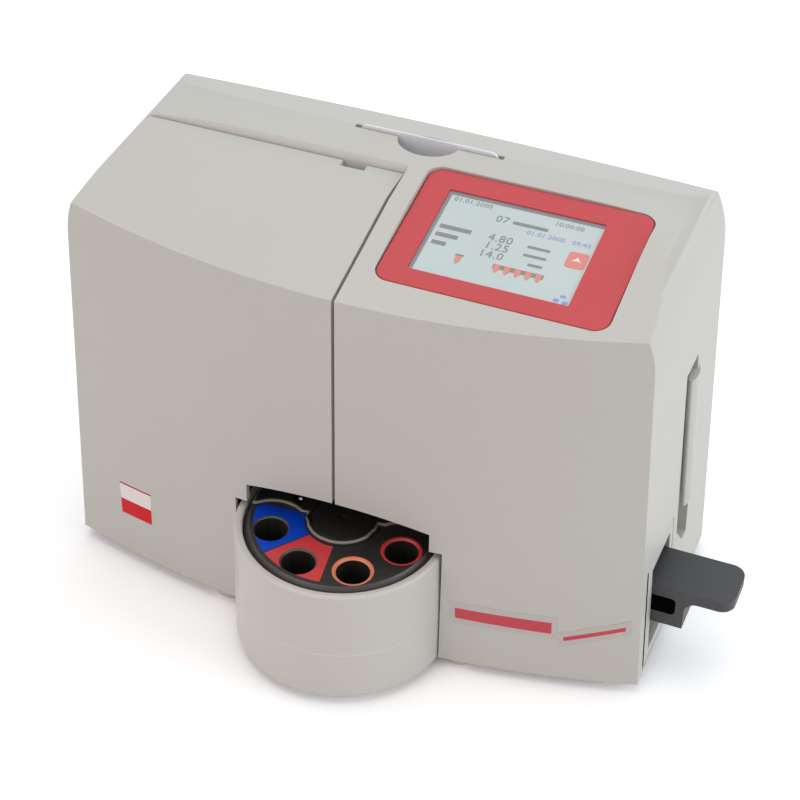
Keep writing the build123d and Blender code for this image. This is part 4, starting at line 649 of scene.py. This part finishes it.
# Legs of the chips on the main board, in rows along their lower and upper sides. A chip is its middle,
# across and up from the board's corner, its width and its height
chipLegs = {"pitch": 1.27, "leg": (0.45, 0.35, 1.2), "boardFace": 36.75, "lift": 0.2, "reach": 0.5,
            "bareEnds": 1.0, "corner": (23.5, 64.5),
            "chips": [(30.0, 40.0, 18.0, 18.0), (14.0, 62.0, 12.0, 8.0), (48.0, 62.0, 9.0, 12.0),
                      (16.0, 16.0, 14.0, 10.0)]}


def rowTree():
    tree, sizes = newShapeTree("rowOfLegs", {
        "Count": "Int", "Step": "Vector", "Leg": "Vector", "Start": "Vector"})
    row = addNode(tree, "GeometryNodeMeshLine", links={
        "Count": sizes["Count"], "Start Location": sizes["Start"], "Offset": sizes["Step"]})
    leg = addNode(tree, "GeometryNodeMeshCube", links={"Size": sizes["Leg"]})
    legs = addNode(tree, "GeometryNodeInstanceOnPoints", links={
        "Points": row.outputs["Mesh"], "Instance": leg.outputs["Mesh"]})
    endShapeTree(tree, legs.outputs["Instances"], "groundStainlessSteel")
    return tree


def legRows(c):
    rows = []
    for x, z, width, height in c["chips"]:
        count = int((width - c["bareEnds"]) / c["pitch"])
        for side in (-1, 1):
            start = (c["corner"][0] + x - (count - 1) * c["pitch"] / 2, c["boardFace"] + c["lift"],
                     c["corner"][1] + z + side * (height / 2 + c["reach"]))
            rows.append({"Count": count, "Step": (c["pitch"] * mm, 0.0, 0.0),
                         "Leg": inMetres(c["leg"]), "Start": inMetres(start)})
    return rows


shapesByNodes("chipLegRows", rowTree(), legRows(chipLegs), "groundStainlessSteel")

# Bead in the joint between the tray's two halves, near white: a painted highlight for the light line along the
# joint
trayBead = {"radius": 40.78, "halfThick": 0.3, "place": (-13.9, -31.95, 25.6)}


def beadTree():
    tree, sizes = newShapeTree("beadRoundTheTray", {
        "Radius": "Float", "HalfThick": "Float", "Place": "Vector"})
    ring = addNode(tree, "GeometryNodeCurvePrimitiveCircle", {"mode": "RADIUS"}, {"Resolution": 160},
                   {"Radius": sizes["Radius"]})
    section = addNode(tree, "GeometryNodeCurvePrimitiveCircle", {"mode": "RADIUS"}, {"Resolution": 8},
                      {"Radius": sizes["HalfThick"]})
    swept = addNode(tree, "GeometryNodeCurveToMesh", links={
        "Curve": ring.outputs["Curve"], "Profile Curve": section.outputs["Curve"]})
    placed = addNode(tree, "GeometryNodeTransform", links={
        "Geometry": swept.outputs["Mesh"], "Translation": sizes["Place"]})
    endShapeTree(tree, placed.outputs["Geometry"], "beadPaintedHighlight")
    return tree


shapesByNodes("trayJointBead", beadTree(), [{
    "Radius": trayBead["radius"] * mm, "HalfThick": trayBead["halfThick"] * mm,
    "Place": inMetres(trayBead["place"])}], "beadPaintedHighlight")
print("pieces made by nodes: thread, cap ribs, chip legs, tray bead")

# Plain stickers on the front. Each has its corners by width and height on the bowed wall, from the top left
# one clockwise, its finish, how far it lies over the lowest film, and its body
stickers = {
    "longSticker": ([(45.5, 30.5), (85.5, 30.6), (85.7, 19.4), (45.7, 19.9)],
                    "clearStickerFilm", 0.0, "root"),
    "redStripe": ([(47.6, 27.6), (83.4, 27.7), (83.6, 22.2), (47.8, 22.6)],
                  "redStickerInk", 0.05, "root"),
    "shortSticker": ([(85.3, 22.8), (111.6, 32.6), (111.7, 25.4), (86.5, 15.8)],
                     "clearStickerFilm", 0.04, "root"),
    "thinStripe": ([(88.0, 21.2), (109.8, 29.3), (109.9, 27.4), (88.2, 19.3)],
                   "redStickerInk", 0.09, "root"),
    "coverSticker": ([(-95.1, 35.3), (-80.1, 35.7), (-80.4, 20.2), (-95.0, 19.8)],
                     "whiteStickerFilm", 0.0, "cover"),
    "coverBand": ([(-95.0, 27.2), (-80.3, 27.6), (-80.4, 20.2), (-95.0, 19.8)],
                  "brightRedStickerInk", 0.04, "cover"),
    "coverLine": ([(-95.1, 35.3), (-80.1, 35.7), (-80.1, 35.1), (-95.1, 34.7)],
                  "brightRedStickerInk", 0.04, "cover"),
}
# The front wall as the CAD has it: half width, bow and draft in degrees, and its place; proud, sunk and
# parts are how far a film stands out of the wall and reaches into it, and the strips that bend it
wallForm = {"half": 116.0, "bow": 17.0, "draft": 0.5, "shift": (-14.5, -22.95, 4.5),
            "proud": 0.08, "sunk": 0.02, "parts": 12}


def onFrontWall(x, z, lift):
    w = wallForm
    radius = (w["half"] ** 2 + w["bow"] ** 2) / (2 * w["bow"])
    y = radius - w["bow"] - (radius ** 2 - x ** 2) ** 0.5 + z * sin(radians(w["draft"])) - w["proud"] - lift
    return Vector((x, y, z)) * mm + Vector(w["shift"]) * mm


# Closed film that follows the wall, its back just inside it
def stickerMesh(name, corners, lift):
    topLeft, topRight, lowRight, lowLeft = [Vector(c) for c in corners]
    parts, back = wallForm["parts"], -wallForm["proud"] - wallForm["sunk"]
    bm = bmesh.new()
    columns = []
    for k in range(parts + 1):
        top, low = topLeft.lerp(topRight, k / parts), lowLeft.lerp(lowRight, k / parts)
        columns.append([bm.verts.new(onFrontWall(*p, lift)) for p in (low, top)])
        columns[-1] += [bm.verts.new(onFrontWall(*p, back)) for p in (top, low)]
    for left, right in zip(columns, columns[1:]):
        for k in range(4):
            bm.faces.new((left[k], right[k], right[(k + 1) % 4], left[(k + 1) % 4]))
    bm.faces.new(columns[0])
    bm.faces.new(list(reversed(columns[-1])))
    bmesh.ops.recalc_face_normals(bm, faces=bm.faces)
    return meshFrom(bm, name)


for name, (corners, materialName, lift, body) in stickers.items():
    addPiece(name, stickerMesh(name, corners, lift), materialName, body)
print("stickers made:", len(stickers))

# Picture on the display: figures, bars for words, tube signs and the arrow key. middle is in metres, tilt
# in degrees, and the rest in mm; depth is the picture's height over the glass's middle
display = {"middle": (0.0359, 0.00529, 0.16838), "tilt": 8.8, "shift": (-2.9, -0.6), "width": 58.1,
           "height": 42.1, "depth": -0.26}


# From the picture's own across and down shares to the object's frame
def onDisplay(across, down, lift=0.0):
    tilt = radians(display["tilt"])
    x = display["shift"][0] + (across - 0.5) * display["width"]
    y = display["shift"][1] + (0.5 - down) * display["height"]
    z = display["depth"] + lift
    turned = Vector((x, y * cos(tilt) - z * sin(tilt), y * sin(tilt) + z * cos(tilt)))
    return Vector(display["middle"]) + mm * turned


# Flat faces on the picture, all turned towards the user
def flatShapes(name, outlines, materialName, lift):
    bm = bmesh.new()
    for outline in outlines:
        corners = [bm.verts.new(onDisplay(u, v, lift)) for u, v in outline]
        bm.faces.new(corners)
    bmesh.ops.recalc_face_normals(bm, faces=bm.faces)
    up = Vector((0, -sin(radians(display["tilt"])), cos(radians(display["tilt"]))))
    for face in bm.faces:
        if face.normal.dot(up) < 0:
            face.normal_flip()
    addPiece(name, meshFrom(bm, name), materialName)


def roundedBox(u, v, width, height, corner, steps=4):
    shape = []
    reach = corner / display["width"], corner / display["height"]
    for k, (du, dv) in enumerate(((1, 1), (-1, 1), (-1, -1), (1, -1))):
        for step in range(steps + 1):
            turn = radians(90 * (k + step / steps))
            shape.append((u + du * (width / 2 - reach[0]) + reach[0] * cos(turn),
                          v + dv * (height / 2 - reach[1]) + reach[1] * sin(turn)))
    return shape


# A bar by the middle of its left end
def bar(u, v, width, height):
    top, low = v - height / 2, v + height / 2
    return [(u, top), (u, low), (u + width, low), (u + width, top)]


def tubeSign(u, v, width, height, coneFrom=0.1):
    half, shoulder = width / 2, v + height * coneFrom
    return [(u - half, v - height / 2), (u - half, shoulder), (u, v + height / 2),
            (u + half, shoulder), (u + half, v - height / 2)]


# Made-up figures: what they say, their place across and down, and their type size in mm
figureForm = {"spacing": 1.08, "curveSteps": 3, "lift": 0.05}
figures = {
    "greyInk": [("01.01.2000", 0.05, 0.105, 3.0), ("07", 0.35, 0.235, 4.6), ("10:00:00", 0.70, 0.125, 2.9),
                ("4.80", 0.36, 0.465, 4.9), ("1.25", 0.36, 0.565, 4.9), ("14.0", 0.35, 0.665, 4.9)],
    "blueInk": [("01.01.2000", 0.565, 0.30, 2.9), ("09:45", 0.85, 0.30, 2.9)],
}


def figureMesh(name, lines, materialName):
    bm = bmesh.new()
    for words, u, v, size in lines:
        curve = bpy.data.curves.new(name, "FONT")
        curve.body, curve.size = words, size
        curve.space_character, curve.resolution_u = figureForm["spacing"], figureForm["curveSteps"]
        flat = bakedMesh(bpy.data.objects.new(name, curve))
        for vertex in flat.vertices:
            vertex.co = onDisplay(u + vertex.co.x / display["width"], v - vertex.co.y / display["height"],
                                  figureForm["lift"])
        bm.from_mesh(flat)
    addPiece(name, meshFrom(bm, name), materialName)


for materialName, lines in figures.items():
    figureMesh(materialName + "Figures", lines, materialName)

# Each sign with its ink, its lift in mm and its outlines, in shares of the picture across and down
tubeRack = {"alone": 0.252, "first": 0.495, "step": 0.0655, "count": 5}
tubePlaces = [tubeRack["alone"]] + [tubeRack["first"] + tubeRack["step"] * k for k in range(tubeRack["count"])]
pictureShapes = {
    "wordBars": ("greyInk", 0.05, [
        bar(0.46, 0.205, 0.22, 0.035), bar(0.05, 0.43, 0.20, 0.045), bar(0.05, 0.53, 0.14, 0.045),
        bar(0.05, 0.63, 0.09, 0.045), bar(0.61, 0.44, 0.14, 0.028), bar(0.61, 0.54, 0.14, 0.028),
        bar(0.66, 0.64, 0.09, 0.028)]),
    # painted shade along the picture's top and left edges
    "pictureEdgeShade": ("paintedRecessShade", 0.02, [bar(0.0, 0.021, 1.0, 0.042), bar(0.0, 0.521, 0.025, 0.958)]),
    "arrowKey": ("redInk", 0.04, [roundedBox(0.925, 0.47, 0.125, 0.19, 1.4)]),
    "arrowSign": ("whiteInk", 0.07, [
        [(0.925, 0.435), (0.895, 0.49), (0.915, 0.478), (0.935, 0.478), (0.955, 0.49)]]),
    "rackSign": ("oliveInk", 0.04, [bar(0.47, 0.745, 0.315, 0.05)]),
    "tubeSigns": ("redInk", 0.07, [tubeSign(u, 0.77, 0.036, 0.105) for u in tubePlaces]),
    "tubeLids": ("oliveInk", 0.08, [bar(0.226, 0.715, 0.052, 0.018)]),
    "linkSigns": ("blueInk", 0.05, [
        bar(0.90, 0.955, 0.03, 0.035), bar(0.955, 0.965, 0.03, 0.035), bar(0.93, 0.90, 0.03, 0.03)]),
}
for name, (materialName, lift, outlines) in pictureShapes.items():
    flatShapes(name, outlines, materialName, lift)
print("display picture made")

# Studio: pale floor and white surroundings. The floor that the camera sees is brighter than the one that
# lights the object, keeps its shadow, and fades to white from whiteFrom to whiteAt metres out
studio = {"floor": "#DCDCDA", "seenFloor": 1.37, "whiteFrom": 0.45, "whiteAt": 1.1, "floorReach": 8,
          "worldColour": "#F3F4F6", "worldStrength": 0.55}


# 1 for what the camera sees, straight, mirrored or through glass, and 0 for what lights the object
def seenRay(tree):
    path = addNode(tree, "ShaderNodeLightPath")
    shiny = addNode(tree, "ShaderNodeMath", {"operation": "MAXIMUM"}, None, {
        0: path.outputs["Is Glossy Ray"], 1: path.outputs["Is Transmission Ray"]})
    return addNode(tree, "ShaderNodeMath", {"operation": "MAXIMUM"}, None, {
        0: path.outputs["Is Camera Ray"], 1: shiny.outputs[0]}).outputs[0]


def makeStudio(s):
    bpy.context.scene.view_settings.view_transform = "Standard"
    world = bpy.data.worlds.new("studio")
    bpy.context.scene.world = world
    world.use_nodes = True
    tree = world.node_tree
    tree.nodes.clear()
    fill = addNode(tree, "ShaderNodeBackground", values={
        "Color": linear(s["worldColour"]), "Strength": s["worldStrength"]})
    white = addNode(tree, "ShaderNodeBackground", values={"Color": pureWhite, "Strength": 1.0})
    both = addNode(tree, "ShaderNodeMixShader", None, None, {
        0: seenRay(tree), 1: fill.outputs[0], 2: white.outputs[0]})
    addNode(tree, "ShaderNodeOutputWorld", links={"Surface": both.outputs[0]})

    material, tree = newMaterial("paleFloor")
    diffuse = addNode(tree, "ShaderNodeBsdfDiffuse", values={"Color": linear(s["floor"])})
    bright = addNode(tree, "ShaderNodeBsdfDiffuse", values={"Color": (s["seenFloor"],) * 3 + (1.0,)})
    place = addNode(tree, "ShaderNodeTexCoord").outputs["Object"]
    far = addNode(tree, "ShaderNodeVectorMath", {"operation": "LENGTH"}, None, {0: place})
    fade = addNode(tree, "ShaderNodeMapRange", {"interpolation_type": "SMOOTHSTEP"}, {
        "From Min": s["whiteFrom"], "From Max": s["whiteAt"]}, {"Value": far.outputs["Value"]})
    glow = addNode(tree, "ShaderNodeEmission", values={"Color": pureWhite, "Strength": 1.0})
    seen = addNode(tree, "ShaderNodeMixShader", None, None, {
        0: fade.outputs["Result"], 1: bright.outputs[0], 2: glow.outputs[0]})
    both = addNode(tree, "ShaderNodeMixShader", None, None, {
        0: seenRay(tree), 1: diffuse.outputs[0], 2: seen.outputs[0]})
    finishMaterial(tree, both)
    mesh, reach = bpy.data.meshes.new("floor"), s["floorReach"]
    mesh.from_pydata([(-reach, -reach, 0), (reach, -reach, 0), (reach, reach, 0), (-reach, reach, 0)],
                     [], [(0, 1, 2, 3)])
    mesh.materials.append(material)
    floor = bpy.data.objects.new("floor", mesh)
    bpy.context.scene.collection.objects.link(floor)


makeStudio(studio)

# Square soft lamps: place, aim and size in metres, power in watts
lamps = {
    "topSoftbox": {"place": (-0.15, 0.15, 1.5), "aim": (0.0, 0.0, 0.05), "size": 1.2,
                   "power": 5.7, "tint": "#F9FFFB"},
    "frontFill": {"place": (-0.8, -1.7, 0.8), "aim": (0.0, 0.0, 0.08), "size": 1.6,
                  "power": 10.3, "tint": "#FFEAEC"},
    "rightFill": {"place": (1.7, 0.1, 0.6), "aim": (0.0, 0.0, 0.08), "size": 1.2,
                  "power": 11.4, "tint": "#F7FBFF"},
    "backFill": {"place": (0.5, 1.7, 0.8), "aim": (0.0, 0.0, 0.12), "size": 1.4,
                 "power": 7.0, "tint": "#CCE0FF"},
}
for name, lamp in lamps.items():
    data = bpy.data.lights.new(name, "AREA")
    data.energy, data.shape, data.size = lamp["power"], "SQUARE", lamp["size"]
    data.color = linear(lamp["tint"])[:3]
    made = bpy.data.objects.new(name, data)
    bpy.context.scene.collection.objects.link(made)
    made.location = lamp["place"]
    made.rotation_mode = "QUATERNION"
    made.rotation_quaternion = (Vector(lamp["aim"]) - Vector(lamp["place"])).to_track_quat("-Z", "Y")
print("studio made")
